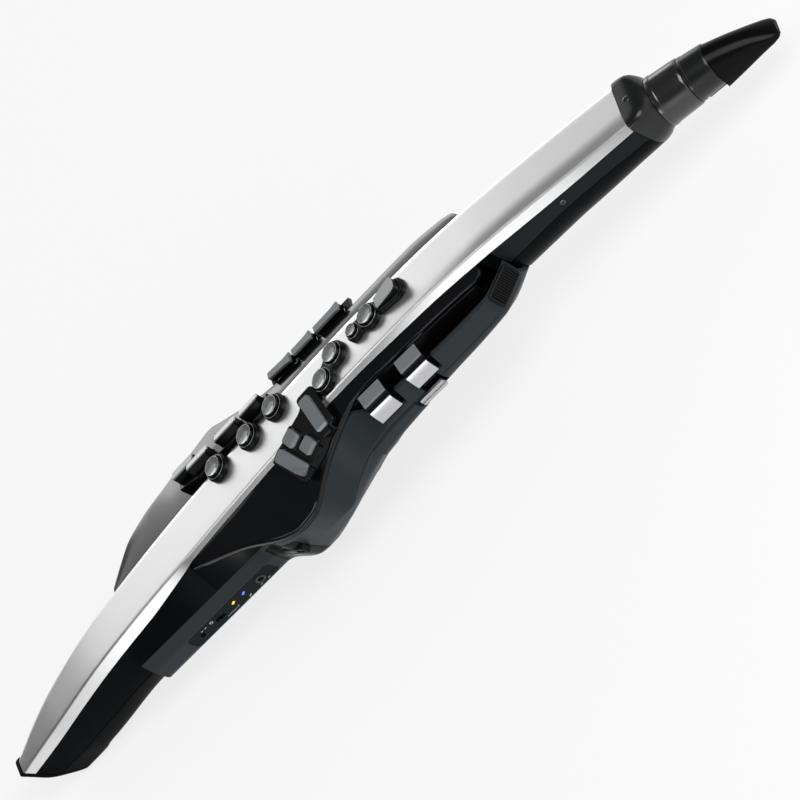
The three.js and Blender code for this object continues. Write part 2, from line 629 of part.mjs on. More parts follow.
function block(from, to) {
  const size = to.map((v, i) => v - from[i]);
  const geometry = new THREE.BoxGeometry(...size);
  geometry.translate(...to.map((v, i) => (v + from[i]) / 2));
  return geometry;
}

// Extrudes an outline of [x, y] points from z = low to z = high with a small edge bevel
function slab(outline, low, high, bevel = 0) {
  const shape = new THREE.Shape(outline.map(([x, y]) => new THREE.Vector2(x, y)));
  const geometry = new THREE.ExtrudeGeometry(shape, {
    depth: high - low - 2 * bevel, bevelEnabled: bevel > 0, bevelSize: bevel, bevelOffset: -bevel,
    bevelThickness: bevel, bevelSegments: 1,
  });
  geometry.translate(0, 0, low + bevel);
  return geometry;
}

// Dished cap of a round key; it slides in the hole of its base
function pearlCap(radius) {
  const rim = radius * 0.1;
  return lathe([
    [0, TRAVEL + FOOT_CLEAR], [radius, TRAVEL + FOOT_CLEAR], [radius, CAP_RISE - rim],
    [radius - rim, CAP_RISE], [radius - 2.4 * rim, CAP_RISE - rim / 2],
    [radius / 2, CAP_RISE - 1.9 * rim], [0, CAP_RISE - 2.4 * rim],
  ]);
}

const PEARL_RADIUS = KEY_SPREAD * 0.3832;
const SMALL_PEARL_RADIUS = KEY_SPREAD * 0.2395;
const BASE_RIM = KEY_SPREAD * 0.1258;
const BASE_STEP = 1.4;
const baseRadius = (radius) => radius + BASE_RIM;
const holeRadius = (radius) => radius + CAP_CLEAR;

// Stepped ring that guides one cap
function pearlRing(radius) {
  const outer = baseRadius(radius);
  const hole = holeRadius(radius);
  return lathe([
    [hole, 0], [outer, 0], [outer, BASE_HIGH - BASE_STEP], [mix(outer, hole, 0.45), BASE_HIGH - BASE_STEP],
    [mix(outer, hole, 0.55), BASE_HIGH], [hole, BASE_HIGH], [hole, 0],
  ]);
}

// letter, share along, share of the key spread across
const LOWER_PEARLS = [['d', 0.3515, 0.66], ['e', 0.3955, 0.51], ['f', 0.4325, 0.525]];
const ringTools = [];
for (const [letter, share, across] of LOWER_PEARLS) {
  const group = touchGroup(along(share), across * KEY_SPREAD);
  place(`key_ring_${letter}`, pearlRing(PEARL_RADIUS), 'dark', group);
  place(`pearl_key_${letter}`, pearlCap(PEARL_RADIUS), 'touch', group);
  group.updateMatrixWorld(true);
  ringTools.push(post(baseRadius(PEARL_RADIUS) + GAP, -OVERRUN, BASE_HIGH + OVERRUN, 0, 0)
    .applyMatrix4(group.matrixWorld));
}

// Shared bases: each hole is [along from the group, across from the group, radius]
function sharedBase(holes, extra = []) {
  const posts = holes.map(([x, y, r]) => post(baseRadius(r), 0, BASE_HIGH - BASE_STEP, x, y));
  const steps = holes.map(([x, y, r]) => post(mix(baseRadius(r), r, 0.45), 0, BASE_HIGH, x, y));
  const webs = holes.slice(1).map(([x, y, r], i) => web(holes[i], [x, y, r]));
  const body = join(posts[0], ...posts.slice(1), ...steps, ...webs, ...extra);
  return cut(body, ...holes.map(([x, y, r]) => post(holeRadius(r), -OVERRUN, BASE_HIGH + OVERRUN, x, y)));
}

// Bridge between two neighbouring rings
function web([ax, ay, ar], [bx, by, br]) {
  const direction = new THREE.Vector2(bx - ax, by - ay).normalize();
  const reach = Math.min(ar, br) * 0.8;
  const side = new THREE.Vector2(-direction.y, direction.x).multiplyScalar(reach);
  return slab([
    [ax + side.x, ay + side.y], [ax - side.x, ay - side.y],
    [bx - side.x, by - side.y], [bx + side.x, by + side.y],
  ], 0, BASE_HIGH - BASE_STEP);
}

const MIDDLE_PEARL = { g: [0, -0.5], a: [0.0199, 0.066] };
const middle = touchGroup(along(0.4925), 0);
const middleHoles = Object.values(MIDDLE_PEARL).map(([u, v]) => [along(u), v * KEY_SPREAD, PEARL_RADIUS]);
place('middle_key_base', sharedBase(middleHoles), 'dark', middle);
Object.keys(MIDDLE_PEARL).forEach((letter, i) => {
  const key = place(`pearl_key_${letter}`, pearlCap(PEARL_RADIUS), 'touch', middle);
  key.position.set(middleHoles[i][0], middleHoles[i][1], 0);
});

// Upper stack: small round key, round key and the tall front key on one base
const FRONT_KEY_LONG = KEY_SPREAD * 1.1377;
const FRONT_KEY_WIDE = KEY_SPREAD * 0.5988;
const FRONT_KEY_RISE = 9.2;
const FRONT_KEY_LOW = 5.8;
const upper = touchGroup(along(0.5605), KEY_SPREAD * 0.14);
const UPPER_PEARL = { small: [-0.0197, -0.05, SMALL_PEARL_RADIUS], b: [0, 0, PEARL_RADIUS] };
const upperHoles = Object.values(UPPER_PEARL).map(([u, v, r]) => [along(u), v * KEY_SPREAD, r]);
const FRONT_KEY_AT_SHARE = 0.0275;
const frontAt = along(FRONT_KEY_AT_SHARE);
const frontNear = frontAt - FRONT_KEY_LONG / 2;
const frontFar = frontAt + FRONT_KEY_LONG / 2;

// Outline of the front key: narrow at the round key, wide and round at the far end
function frontOutline(grow) {
  const near = frontNear - grow;
  const wide = FRONT_KEY_WIDE / 2 + grow;
  const far = frontFar + grow;
  return [
    [near, -wide * 0.75], [near, wide * 0.75], [far - wide * 0.7, wide],
    [far - wide * 0.15, wide * 0.6], [far, 0],
    [far - wide * 0.15, -wide * 0.6], [far - wide * 0.7, -wide],
  ];
}
const upperBody = sharedBase(upperHoles, [slab(frontOutline(BASE_RIM), 0, BASE_HIGH - BASE_STEP)]);
place('upper_key_base', cut(upperBody, slab(frontOutline(CAP_CLEAR), -OVERRUN, BASE_HIGH + OVERRUN),
  post(holeRadius(PEARL_RADIUS), -OVERRUN, BASE_HIGH + OVERRUN, 0, 0)), 'dark', upper);
Object.keys(UPPER_PEARL).forEach((letter, i) => {
  const key = place(`pearl_key_${letter}`, pearlCap(upperHoles[i][2]), 'touch', upper);
  key.position.set(upperHoles[i][0], upperHoles[i][1], 0);
});

// The front key is a wedge: its top rises towards the mouthpiece
function wedge(outline, low, near, far, lowRise, highRise) {
  const geometry = slab(outline, low, highRise);
  const position = geometry.attributes.position;
  for (let i = 0; i < position.count; i += 1) {
    const share = (position.getX(i) - near) / (far - near);
    if (position.getZ(i) > (low + highRise) / 2) position.setZ(i, mix(lowRise, highRise, share));
  }
  return geometry;
}
const frontWedge = wedge(
  frontOutline(0), TRAVEL + FOOT_CLEAR, frontNear, frontFar, FRONT_KEY_LOW, FRONT_KEY_RISE);
place('front_key', frontWedge, 'touch', upper);

// Height of the outer surface at a place, on the right side or the left
function surface(x, y) {
  const edge = y < 0 ? silverEdge(x) : leftEdge(x);
  const tip = y < 0 ? rightWingEdge(x) : leftWingEdge(x);
  const out = Math.abs(y);
  if (out <= half(x)) return face(x);
  const flange = Math.abs(edge[0]) - half(x);
  if (out <= Math.abs(edge[0])) return mix(face(x), edge[1], (out - half(x)) / flange);
  const share = (y - edge[0]) / (tip[0] - edge[0]);
  return mix(edge[1] - GAP, tip[1], share);
}

// Table of the little finger keys, on the right wing beside the ridge
const TABLE_AT_SHARE = 0.448;
const TABLE_TILT = Math.atan(0.36);
const TABLE_LIFT = 2.6;
const PINKY_RISE = 2.8;
const PINKY_SUNK = 0.6;
const PINKY_CLEAR = 0.5;
const PINKY_BAR = KEY_SPREAD * 1.3773;
const PINKY_WIDE = KEY_SPREAD * 0.503;
const PINKY_SQUARE = KEY_SPREAD * 0.5749;
const PINKY_SHORT = PINKY_SQUARE * 0.92;
const PINKY_SLOPE = Math.tan(TABLE_TILT);
const tableAlong = along(TABLE_AT_SHARE);
const tablePlane = (x, y) => face(x) + TABLE_LIFT - PINKY_SLOPE * (-y - half(x));
// [share along, inner edge, outer edge as shares of the key spread]
const TABLE_SHARES = [
  [0.4105, 1.72, 2.76], [0.42, 1.5, 2.74], [0.43, 1.02, 2.62], [0.443, 0.86, 2.5],
  [0.456, 0.74, 2.34], [0.467, 0.5, 2.12], [0.478, 0.5, 2.02],
];
// Section of a base that follows the outer surface below and a flat plane above; side is -1 right, 1 left
function saddleRing(x, inner, outer, side, plane) {
  const edge = side < 0 ? silverEdge(x) : leftEdge(x);
  const second = side * Math.max(half(x), side * inner + GAP);
  const third = side * Math.max(side * edge[0], side * inner + 2 * GAP);
  const lifts = [GAP, GAP * 1.2, GAP * 1.3, GAP];
  const low = [inner, second, third, outer].map((y, i) => [x, y, surface(x, y) + lifts[i]]);
  return [...low, ...[outer, inner].map((y) => [x, y, plane(x, y)])];
}
const tableRings = TABLE_SHARES.map(([share, from, to]) => saddleRing(
  along(share), -from * KEY_SPREAD, -to * KEY_SPREAD, -1, tablePlane));

const tableGroup = new THREE.Group();
tableGroup.position.set(tableAlong, -KEY_SPREAD, tablePlane(tableAlong, -KEY_SPREAD));
tableGroup.rotation.order = 'YXZ';
tableGroup.rotation.y = -faceSlope(tableAlong);
tableGroup.rotation.x = TABLE_TILT;
GROUP.add(tableGroup);
tableGroup.updateMatrixWorld(true);

// name, share of the length along, share of the key spread down the slope, size along and across,
// turn about the normal
const PINKY_KEYS = [
  ['gsharp_key', 0.0215, -0.2515, PINKY_WIDE, PINKY_BAR, 0],
  ['csharp_key', -0.0105, -0.2635, PINKY_SQUARE, PINKY_SHORT, 0.3],
  ['low_b_key', -0.0003, -0.9461, PINKY_SQUARE, PINKY_SHORT, 0.3],
  ['low_b_flat_key', -0.0232, -0.9341, PINKY_WIDE, PINKY_BAR, 0.42],
];

function softRectangle(wide, long, corner, grow = 0) {
  const w = wide / 2 + grow;
  const l = long / 2 + grow;
  return [
    [-w, -l + corner], [-w + corner, -l], [w - corner, -l], [w, -l + corner],
    [w, l - corner], [w - corner, l], [-w + corner, l], [-w, l - corner],
  ];
}
const KEY_CORNER = 1.4;
const KEY_BEVEL = 0.7;

function keyTool(mesh, wide, long) {
  const tool = slab(softRectangle(wide, long, KEY_CORNER, PINKY_CLEAR), -OVERRUN * 2, OVERRUN);
  tool.applyMatrix4(mesh.matrixWorld);
  return tool;
}
const pinkyTools = [];
for (const [name, u, v, wide, long, turn] of PINKY_KEYS) {
  const geometry = slab(softRectangle(wide, long, KEY_CORNER), -PINKY_SUNK, PINKY_RISE, KEY_BEVEL);
  const key = place(name, geometry, 'touch', tableGroup);
  key.position.set(along(u), v * KEY_SPREAD, 0);
  key.rotation.z = turn;
  key.updateMatrixWorld(true);
  pinkyTools.push(keyTool(key, wide, long));
}
place('pinky_table', cut(loftRings(tableRings), ...pinkyTools), 'dark');

// Side keys of the right hand, on a cradle that straddles the panel's left edge
const CRADLE_TILT = Math.atan(0.3);
const CRADLE_LIFT = 2.2;
const cradlePlane = (x, y) => face(x) + CRADLE_LIFT - Math.tan(CRADLE_TILT) * (y - half(x));
const CRADLE_SHARES = [
  [0.302, 1.55, 2.4], [0.315, 1.4, 2.42], [0.33, 1.15, 2.2], [0.345, 1.15, 1.86], [0.36, 1.1, 1.78],
  [0.382, 1.02, 1.7], [0.394, 1.02, 1.64], [0.404, 0.72, 1.54], [0.427, 0.72, 1.5],
];
const cradleRings = CRADLE_SHARES.map(([share, from, to]) => saddleRing(
  along(share), from * KEY_SPREAD, to * KEY_SPREAD, 1, cradlePlane));
const SIDE_KEY_LONG = KEY_SPREAD * 1.1677;
const SIDE_KEY_WIDE = KEY_SPREAD * 0.3952;
const SIDE_KEY_RISE = 6;
// name, share along, share of the key spread across, turn
const SIDE_KEYS = [['side_key_a', 0.4115, 1.2, -0.02], ['side_key_b', 0.378, 1.35, -0.1],
  ['side_key_c', 0.3375, 1.52, -0.1], ['side_key_d', 0.3175, 1.98, -0.1]];
const sideTools = [];
for (const [name, share, across, turn] of SIDE_KEYS) {
  const x = along(share);
  const y = across * KEY_SPREAD;
  const group = new THREE.Group();
  group.position.set(x, y, cradlePlane(x, y));
  group.rotation.order = 'YXZ';
  group.rotation.set(-CRADLE_TILT, -faceSlope(x), turn);
  GROUP.add(group);
  const long = name === 'side_key_a' ? SIDE_KEY_LONG * 0.86 : SIDE_KEY_LONG;
  const outline = softRectangle(long, SIDE_KEY_WIDE, KEY_CORNER);
  const key = place(name, slab(outline, -PINKY_SUNK, SIDE_KEY_RISE, KEY_BEVEL), 'touch', group);
  group.updateMatrixWorld(true);
  sideTools.push(keyTool(key, long, SIDE_KEY_WIDE));
}
place('side_key_cradle', cut(loftRings(cradleRings), ...sideTools, ...ringTools), 'dark');

// Rail of three long side keys, hung on the left wing's skirt
const RAIL_WIDE = KEY_SPREAD * 0.4431;
const RAIL_HIGH = 2.2;
const RAIL_KEY_WIDE = KEY_SPREAD * 0.2754;
const RAIL_KEY_RISE = 5;
const RAIL_FLARE = 2.2;
const RAIL_START_SHARE = 0.428;
const RAIL_END_SHARE = 0.537;
const railInner = (x) => leftWingEdge(x)[0] + GAP;
const railTop = (x) => leftWingEdge(x)[1] - GAP;
const railRing = (x) => {
  const y = railInner(x);
  const top = railTop(x);
  const outer = y + RAIL_WIDE;
  return [[x, y, top], [x, outer, top], [x, outer, top - 1.5 * RAIL_HIGH], [x, y, top - RAIL_HIGH]];
};
// name, share along, key length as a share of the whole length
const RAIL_KEYS = [
  ['rail_key_low', 0.4475, 0.03134],
  ['rail_key_middle', 0.4785, 0.02537],
  ['rail_key_high', 0.5125, 0.03284],
];
const railTools = [];
for (const [name, share, longShare] of RAIL_KEYS) {
  const x = along(share);
  const long = along(longShare);
  const probe = long / 2;
  const group = new THREE.Group();
  group.position.set(x, railInner(x) + RAIL_WIDE / 2, railTop(x));
  group.rotation.order = 'YXZ';
  group.rotation.y = -Math.atan2(railTop(x + probe) - railTop(x - probe), 2 * probe);
  group.rotation.z = Math.atan2(railInner(x + probe) - railInner(x - probe), 2 * probe);
  GROUP.add(group);
  const w = RAIL_KEY_WIDE / 2;
  const outline = (grow) => [[-long / 2 - grow, -w - grow], [long / 2 + grow, -w - grow],
    [long / 2 + grow, w + grow], [-long / 2 - grow, w + grow]];
  const body = slab(outline(0), -PINKY_SUNK, RAIL_KEY_RISE * 0.7);
  const flare = slab([
    [-long / 2, -w], [long / 2, -w - RAIL_FLARE / 2], [long / 2, w + RAIL_FLARE], [-long / 2, w],
  ], RAIL_KEY_RISE * 0.6, RAIL_KEY_RISE, 0);
  place(name, join(body, flare), 'touch', group);
  group.updateMatrixWorld(true);
  const tool = slab(outline(PINKY_CLEAR), -OVERRUN * 2, OVERRUN);
  tool.applyMatrix4(group.matrixWorld);
  railTools.push(tool);
}
const railRings = stations(RAIL_START_SHARE, RAIL_END_SHARE).map(railRing);
place('side_key_rail', cut(loftRings(railRings), ...railTools), 'dark');

// Palm keys: bent levers in the well, each with a bright face that comes out through a notch in the shell
const PALM_KEYS = [['palm_key_low', 0.525], ['palm_key_high', 0.572]];
const PALM_LONG = LENGTH * 0.02687;
const PALM_PIVOT_OUT = 31;
const PALM_PIVOT_DROP = 3.2;
const PALM_NOTCH_CLEAR = 1.8;
const PALM_THICK = 2.2;
const PALM_FACE = 1;
const palmNotches = [];

// The bent strip runs down and outwards: [length, angle below the level]
const PALM_REACH = 20.5;
const PALM_RUN_SHARES = [[0.39, 0.42], [0.098, 0.72], [0.098, 1.02], [0.414, 1.32]];
const PALM_RUN = PALM_RUN_SHARES.map(([share, turn]) => [share * PALM_REACH, turn]);

// Outline of the strip from one of its corners to another, at a height above its inner face
function palmStrip(thick, lift, start, stop) {
  let point = [0, 0];
  const corners = [{ point, turn: PALM_RUN[0][1] }];
  PALM_RUN.forEach(([long, turn], i) => {
    point = [point[0] - long * Math.cos(turn), point[1] - long * Math.sin(turn)];
    const next = PALM_RUN[i + 1] ?? PALM_RUN[i];
    corners.push({ point, turn: (turn + next[1]) / 2 });
  });
  const used = corners.slice(start, stop + 1);
  const at = ({ point: [y, z], turn }, rise) => [y - Math.sin(turn) * rise, z + Math.cos(turn) * rise];
  return [...used.map((q) => at(q, lift + thick)), ...used.map((q) => at(q, lift)).reverse()];
}
const palmDrop = PALM_RUN.reduce((sum, [long, turn]) => sum + long * Math.sin(turn), 0);
const strip = (x0, x1, points) => loftRings([x0, x1].map((x) => points.map(([y, z]) => [x, y, z])));

for (const [name, share] of PALM_KEYS) {
  const x = along(share);
  const group = new THREE.Group();
  group.position.set(x, -PALM_PIVOT_OUT, rightWingEdge(x)[1] - PALM_PIVOT_DROP + PALM_THICK);
  GROUP.add(group);
  const lever = strip(-PALM_LONG / 2, PALM_LONG / 2, palmStrip(PALM_THICK, 0, 0, 4));
  const faceWide = PALM_LONG / 2 - GAP;
  const bright = strip(-faceWide, faceWide, palmStrip(PALM_FACE + GAP, PALM_THICK - GAP, 2, 4));
  place(name, join(lever, bright), 'chrome', group);
  const deep = group.position.z - palmDrop - PALM_NOTCH_CLEAR;
  const reach = PALM_LONG / 2 + PALM_NOTCH_CLEAR;
  const near = x - PALM_LONG / 2 - GAP;
  palmNotches.push(block([near, -SHELL_REACH - OVERRUN, deep], [x + reach, -PALM_PIVOT_OUT, FACE_RISE]));
}

// Third palm key: a bar in the shell's side that is pressed inwards
const BAR_AT_SHARE = 0.5625;
const BAR_LONG = LENGTH * 0.02985;
const BAR_HIGH = 5.6;
const BAR_THICK = 2.2;
const BAR_LOW = 24.8;
const BAR_NOTCH_CLEAR = 1.8;
const barX = along(BAR_AT_SHARE);
const barOut = sideOut(barX) + PALM_FACE;
place('palm_key_third', block([barX - BAR_LONG / 2, -barOut, BAR_LOW],
  [barX + BAR_LONG / 2, -barOut + BAR_THICK, BAR_LOW + BAR_HIGH]), 'chrome');
const barEnd = barX + BAR_LONG / 2 + BAR_NOTCH_CLEAR;
palmNotches.push(block([barX - BAR_LONG / 2 - BAR_NOTCH_CLEAR, -SHELL_REACH - OVERRUN, BAR_LOW - GAP],
  [barEnd, -PALM_PIVOT_OUT, BAR_LOW + BAR_HIGH + GAP]));
const highKeyStart = along(PALM_KEYS[1][1]) - PALM_LONG / 2 - GAP;
palmNotches.push(block([highKeyStart, -SHELL_REACH - OVERRUN, BAR_LOW + BAR_HIGH],
  [barEnd, -PALM_PIVOT_OUT, PALM_RIM_UP]));

// Shallow pocket in the pod's right side for the jack panel, whose frame has its Z out of the face
const JACK_AT_SHARE = 0.2695;
const JACK_LONG = 70;
const JACK_HIGH = 12.4;
const JACK_THICK = 1.1;
const JACK_DEEP = 1.6;
const JACK_CORNER = 3;
const PHONES_RADIUS = 1.9;
const INLET_RADIUS = 1.9;
const SLOT_LONG = 7;
const SLOT_HIGH = 3;
const KNOB_LONG = 3;
const KNOB_OUT = 1.6;
const jackX = along(JACK_AT_SHARE);
const jackTop = new THREE.Vector2(-sideOut(jackX), sideUp(jackX));
const jackLow = new THREE.Vector2(-lowerOut(jackX), lowerUp(jackX));
const jackMiddle = jackTop.clone().add(jackLow).multiplyScalar(0.5);
const jackGroup = new THREE.Group();
jackGroup.position.set(jackX, jackMiddle.x, jackMiddle.y);
jackGroup.rotation.x = Math.PI / 2 + Math.atan2(jackLow.x - jackTop.x, jackTop.y - jackLow.y);
GROUP.add(jackGroup);
jackGroup.updateMatrixWorld(true);
const inJack = (geometry) => geometry.clone().applyMatrix4(jackGroup.matrixWorld);
// Places along the panel as shares of its length, from its middle
const PHONES_SHARE = 0.34;
const SLOT_SHARE = -0.155;
const INLET_SHARE = -0.38;
const slotTool = (low, high) => slab(softRectangle(SLOT_LONG, SLOT_HIGH, SLOT_HIGH / 8), low, high)
  .translate(SLOT_SHARE * JACK_LONG, 0, 0);
const jackHoles = [
  post(PHONES_RADIUS, -OVERRUN * 2, OVERRUN, PHONES_SHARE * JACK_LONG, 0),
  post(INLET_RADIUS, -OVERRUN * 2, OVERRUN, INLET_SHARE * JACK_LONG, 0),
  slotTool(-OVERRUN * 2, OVERRUN),
];
place('jack_panel', cut(slab(softRectangle(JACK_LONG, JACK_HIGH, JACK_CORNER), -JACK_DEEP + GAP,
  -JACK_DEEP + GAP + JACK_THICK), ...jackHoles), 'shell', jackGroup);
const knobWide = SLOT_HIGH - 2 * GAP;
const knobTop = KNOB_OUT - GAP;
const knob = block([-KNOB_LONG / 2, -knobWide / 2, -JACK_DEEP], [KNOB_LONG / 2, knobWide / 2, knobTop]);
knob.translate(SLOT_SHARE * JACK_LONG - SLOT_LONG / 2 + KNOB_LONG / 2 + GAP, 0, 0);
place('power_switch', knob, 'dark', jackGroup);
const jackPocket = inJack(slab(softRectangle(JACK_LONG, JACK_HIGH, JACK_CORNER, GAP), -JACK_DEEP, OVERRUN));

// Battery bay: an opening in the pod's back, closed by a door that slides towards the bell
const DOOR_LONG = 80;
const DOOR_WIDE = 29;
const DOOR_THICK = 2;
const DOOR_LAP = 3;
const DOOR_AT_SHARE = 0.256;
const DOOR_RIBS = 5;
const DOOR_RIB = 0.6;
const doorX = along(DOOR_AT_SHARE);
const podBack = bottom(doorX);
const bayLong = DOOR_LONG - 2 * DOOR_LAP;
const bayWide = DOOR_WIDE - 2 * DOOR_LAP;
const bayTool = block([doorX - bayLong / 2, -bayWide / 2, podBack - OVERRUN],
  [doorX + bayLong / 2, bayWide / 2, podBack + SHELL_WALL + OVERRUN]);
const doorPlate = slab(softRectangle(DOOR_LONG, DOOR_WIDE, 2 * DOOR_LAP), 0, DOOR_THICK, DOOR_RIB);
const doorPlug = block([-bayLong / 2 + GAP, -bayWide / 2 + GAP, DOOR_THICK - DOOR_RIB],
  [-bayLong / 2 + GAP + DOOR_LAP, bayWide / 2 - GAP, DOOR_THICK + GAP / 2]);
const doorRibs = Array.from({ length: DOOR_RIBS }, (_, i) => {
  const x = -DOOR_LONG / 2 + DOOR_LAP * (2 + i);
  return block([x, -bayWide / 4, -DOOR_RIB], [x + DOOR_RIB * 2, bayWide / 4, DOOR_THICK / 2]);
});
const door = place('battery_door', join(doorPlate, doorPlug, ...doorRibs), 'shell');
door.position.set(doorX, 0, podBack - GAP - DOOR_THICK);

// Sound vent: a ribbed plate on the slanting end of the shell
const VENT_LONG = LENGTH * 0.03134;
const VENT_HIGH = 11.5;
const VENT_PLATE = 0.8;
const VENT_RIB = 0.8;
const VENT_RIBS = 14;
const VENT_START_SHARE = 0.6615;
const ventStart = along(VENT_START_SHARE);
const ventEnd = along(SHELL_END_SHARE);
const rimAt = (x) => new THREE.Vector3(x, ...rightRim(x));
const sideAt = (x) => new THREE.Vector3(x, -sideOut(x), sideUp(x));
const ventNear = rimAt(ventStart).add(sideAt(ventStart)).divideScalar(2);
const ventFar = rimAt(ventEnd).add(sideAt(ventEnd)).divideScalar(2);
const ventMiddle = ventNear.clone().add(ventFar).divideScalar(2);
const ventAlong = ventFar.clone().sub(ventNear).normalize();
const ventUp = rimAt(ventStart).add(rimAt(ventEnd)).sub(sideAt(ventStart)).sub(sideAt(ventEnd));
ventUp.addScaledVector(ventAlong, -ventUp.dot(ventAlong)).normalize();
const ventOut = new THREE.Vector3().crossVectors(ventAlong, ventUp);
const ventGroup = new THREE.Group();
ventGroup.applyMatrix4(new THREE.Matrix4().makeBasis(ventAlong, ventUp, ventOut));
const VENT_STAND = 1.1;
ventGroup.position.copy(ventMiddle).addScaledVector(ventOut, VENT_STAND);
GROUP.add(ventGroup);
const ventPlate = slab(softRectangle(VENT_LONG, VENT_HIGH, VENT_RIB), 0, VENT_PLATE);
const ventRibs = Array.from({ length: VENT_RIBS }, (_, i) => {
  const x = mix(-VENT_LONG / 2 + VENT_RIB, VENT_LONG / 2 - 2 * VENT_RIB, i / (VENT_RIBS - 1));
  const reach = VENT_HIGH / 2 - VENT_RIB;
  return block([x, -reach, VENT_PLATE / 2], [x + VENT_RIB, reach, 2 * VENT_PLATE]);
});
place('sound_vent', join(ventPlate, ...ventRibs), 'dark', ventGroup);

// Thumb hook on the belly: a foot plate and an arm that curls towards the bell
const HOOK_AT_SHARE = 0.44;
const HOOK_WIDE = 15;
const HOOK_THICK = 3.2;
const HOOK_FOOT = 22;
const HOOK_CURL = 14;
const hookX = along(HOOK_AT_SHARE);
const hookSlope = Math.atan2(bottom(hookX + HOOK_FOOT / 2) - bottom(hookX - HOOK_FOOT / 2), HOOK_FOOT);
const hookTop = bottom(hookX) - 1.5 * GAP;
const hookReach = BELLY_DEPTH + hookTop - Math.sin(hookSlope) * HOOK_CURL;
const hookDeep = hookReach / Math.cos(hookSlope) + HOOK_THICK / 4;
function hookOutline() {
  const h = HOOK_THICK;
  const curl = HOOK_CURL;
  const deep = hookDeep;
  return [
    [-h * 0.4, 0], [HOOK_FOOT * 0.7, 0], [HOOK_FOOT * 0.7, -h * 0.7], [h * 1.6, -h], [h, -deep * 0.5],
    [h * 0.2, -deep * 0.85], [-curl * 0.4, -deep], [-curl, -deep + h * 0.3], [-curl, -deep + h],
    [-curl * 0.4, -deep + h * 1.05], [-h * 0.25, -deep * 0.8 + h * 0.4], [-h * 0.4, -deep * 0.5],
  ];
}
const hookShape = new THREE.Shape(hookOutline().map(([x, z]) => new THREE.Vector2(x, z)));
const hookGeometry = new THREE.ExtrudeGeometry(hookShape, { depth: HOOK_WIDE, bevelEnabled: false });
hookGeometry.rotateX(Math.PI / 2);
hookGeometry.translate(0, HOOK_WIDE / 2, 0);
const hook = place('thumb_hook', hookGeometry, 'dark');
hook.position.set(hookX, 0, hookTop);
hook.rotation.y = -hookSlope;

// Strap ring on the back of the shell
const RING_AT_SHARE = 0.527;
const RING_HOLE = 5;
const RING_WIRE = 2.2;
const RING_THICK = 4;
const RING_FOOT = 15;
const ringX = along(RING_AT_SHARE);
const ringShape = new THREE.Shape();
ringShape.moveTo(-RING_FOOT / 2, 0);
ringShape.lineTo(-RING_HOLE - RING_WIRE, -RING_WIRE - RING_HOLE);
ringShape.absarc(0, -RING_WIRE - RING_HOLE, RING_HOLE + RING_WIRE, Math.PI, 2 * Math.PI, false);
ringShape.lineTo(RING_FOOT / 2, 0);
const ringHole = new THREE.Path();
ringHole.absarc(0, -RING_WIRE - RING_HOLE, RING_HOLE, 0, 2 * Math.PI, true);
ringShape.holes.push(ringHole);
const ringGeometry = new THREE.ExtrudeGeometry(
  ringShape, { depth: RING_THICK, bevelEnabled: false, curveSegments: 10 });
ringGeometry.rotateX(Math.PI / 2);
ringGeometry.translate(0, RING_THICK / 2, 0);
const strapRing = place('strap_ring', ringGeometry, 'chrome');
strapRing.position.set(ringX, 0, bottom(ringX) - 1.5 * GAP);
strapRing.rotation.y = -Math.atan2(bottom(ringX + RING_HOLE) - bottom(ringX - RING_HOLE), 2 * RING_HOLE);

// Left thumb plate on the back, with its rest between two octave keys
const THUMB_AT_SHARE = 0.607;
const THUMB_LONG = 62;
const THUMB_WIDE = 24;
const THUMB_THICK = 2.6;
const THUMB_REST = THUMB_LONG * 0.3226;
const OCTAVE_LONG = THUMB_LONG * 0.2097;
const OCTAVE_WIDE = 17;
const OCTAVE_OUT = 3.2;
const OCTAVE_GAP = 2.6;
const thumbX = along(THUMB_AT_SHARE);
const thumbGroup = new THREE.Group();
const thumbRise = bottom(thumbX + THUMB_LONG / 2) - bottom(thumbX - THUMB_LONG / 2);
const thumbSlope = Math.atan2(thumbRise, THUMB_LONG);
thumbGroup.position.set(thumbX, 0, bottom(thumbX) - 1.6 * GAP);
thumbGroup.rotation.set(Math.PI, -thumbSlope, 0, 'YXZ');
GROUP.add(thumbGroup);
const thumbBase = slab(softRectangle(THUMB_LONG, THUMB_WIDE, 2 * KEY_CORNER), 0, THUMB_THICK, KEY_BEVEL);
const thumbRest = slab(softRectangle(THUMB_REST, THUMB_WIDE * 0.72, 3 * KEY_CORNER), THUMB_THICK / 2,
  THUMB_THICK + OCTAVE_OUT / 3, KEY_BEVEL);
const octaveAt = THUMB_REST / 2 + OCTAVE_GAP + OCTAVE_LONG / 2;
const octaveWell = softRectangle(OCTAVE_LONG, OCTAVE_WIDE, KEY_CORNER, CAP_CLEAR);
const octaveTools = [-1, 1].map((side) => slab(octaveWell, -OVERRUN, OVERRUN * 2)
  .translate(side * octaveAt, 0, 0));
place('thumb_plate', cut(join(thumbBase, thumbRest), ...octaveTools), 'dark', thumbGroup);
for (const [name, side] of [['octave_key_down', -1], ['octave_key_up', 1]]) {
  const outline = softRectangle(OCTAVE_LONG, OCTAVE_WIDE, KEY_CORNER);
  const key = slab(outline, TRAVEL * 0.9, THUMB_THICK + OCTAVE_OUT, KEY_BEVEL);
  place(name, key, 'touch', thumbGroup).position.set(side * octaveAt, 0, 0);
}

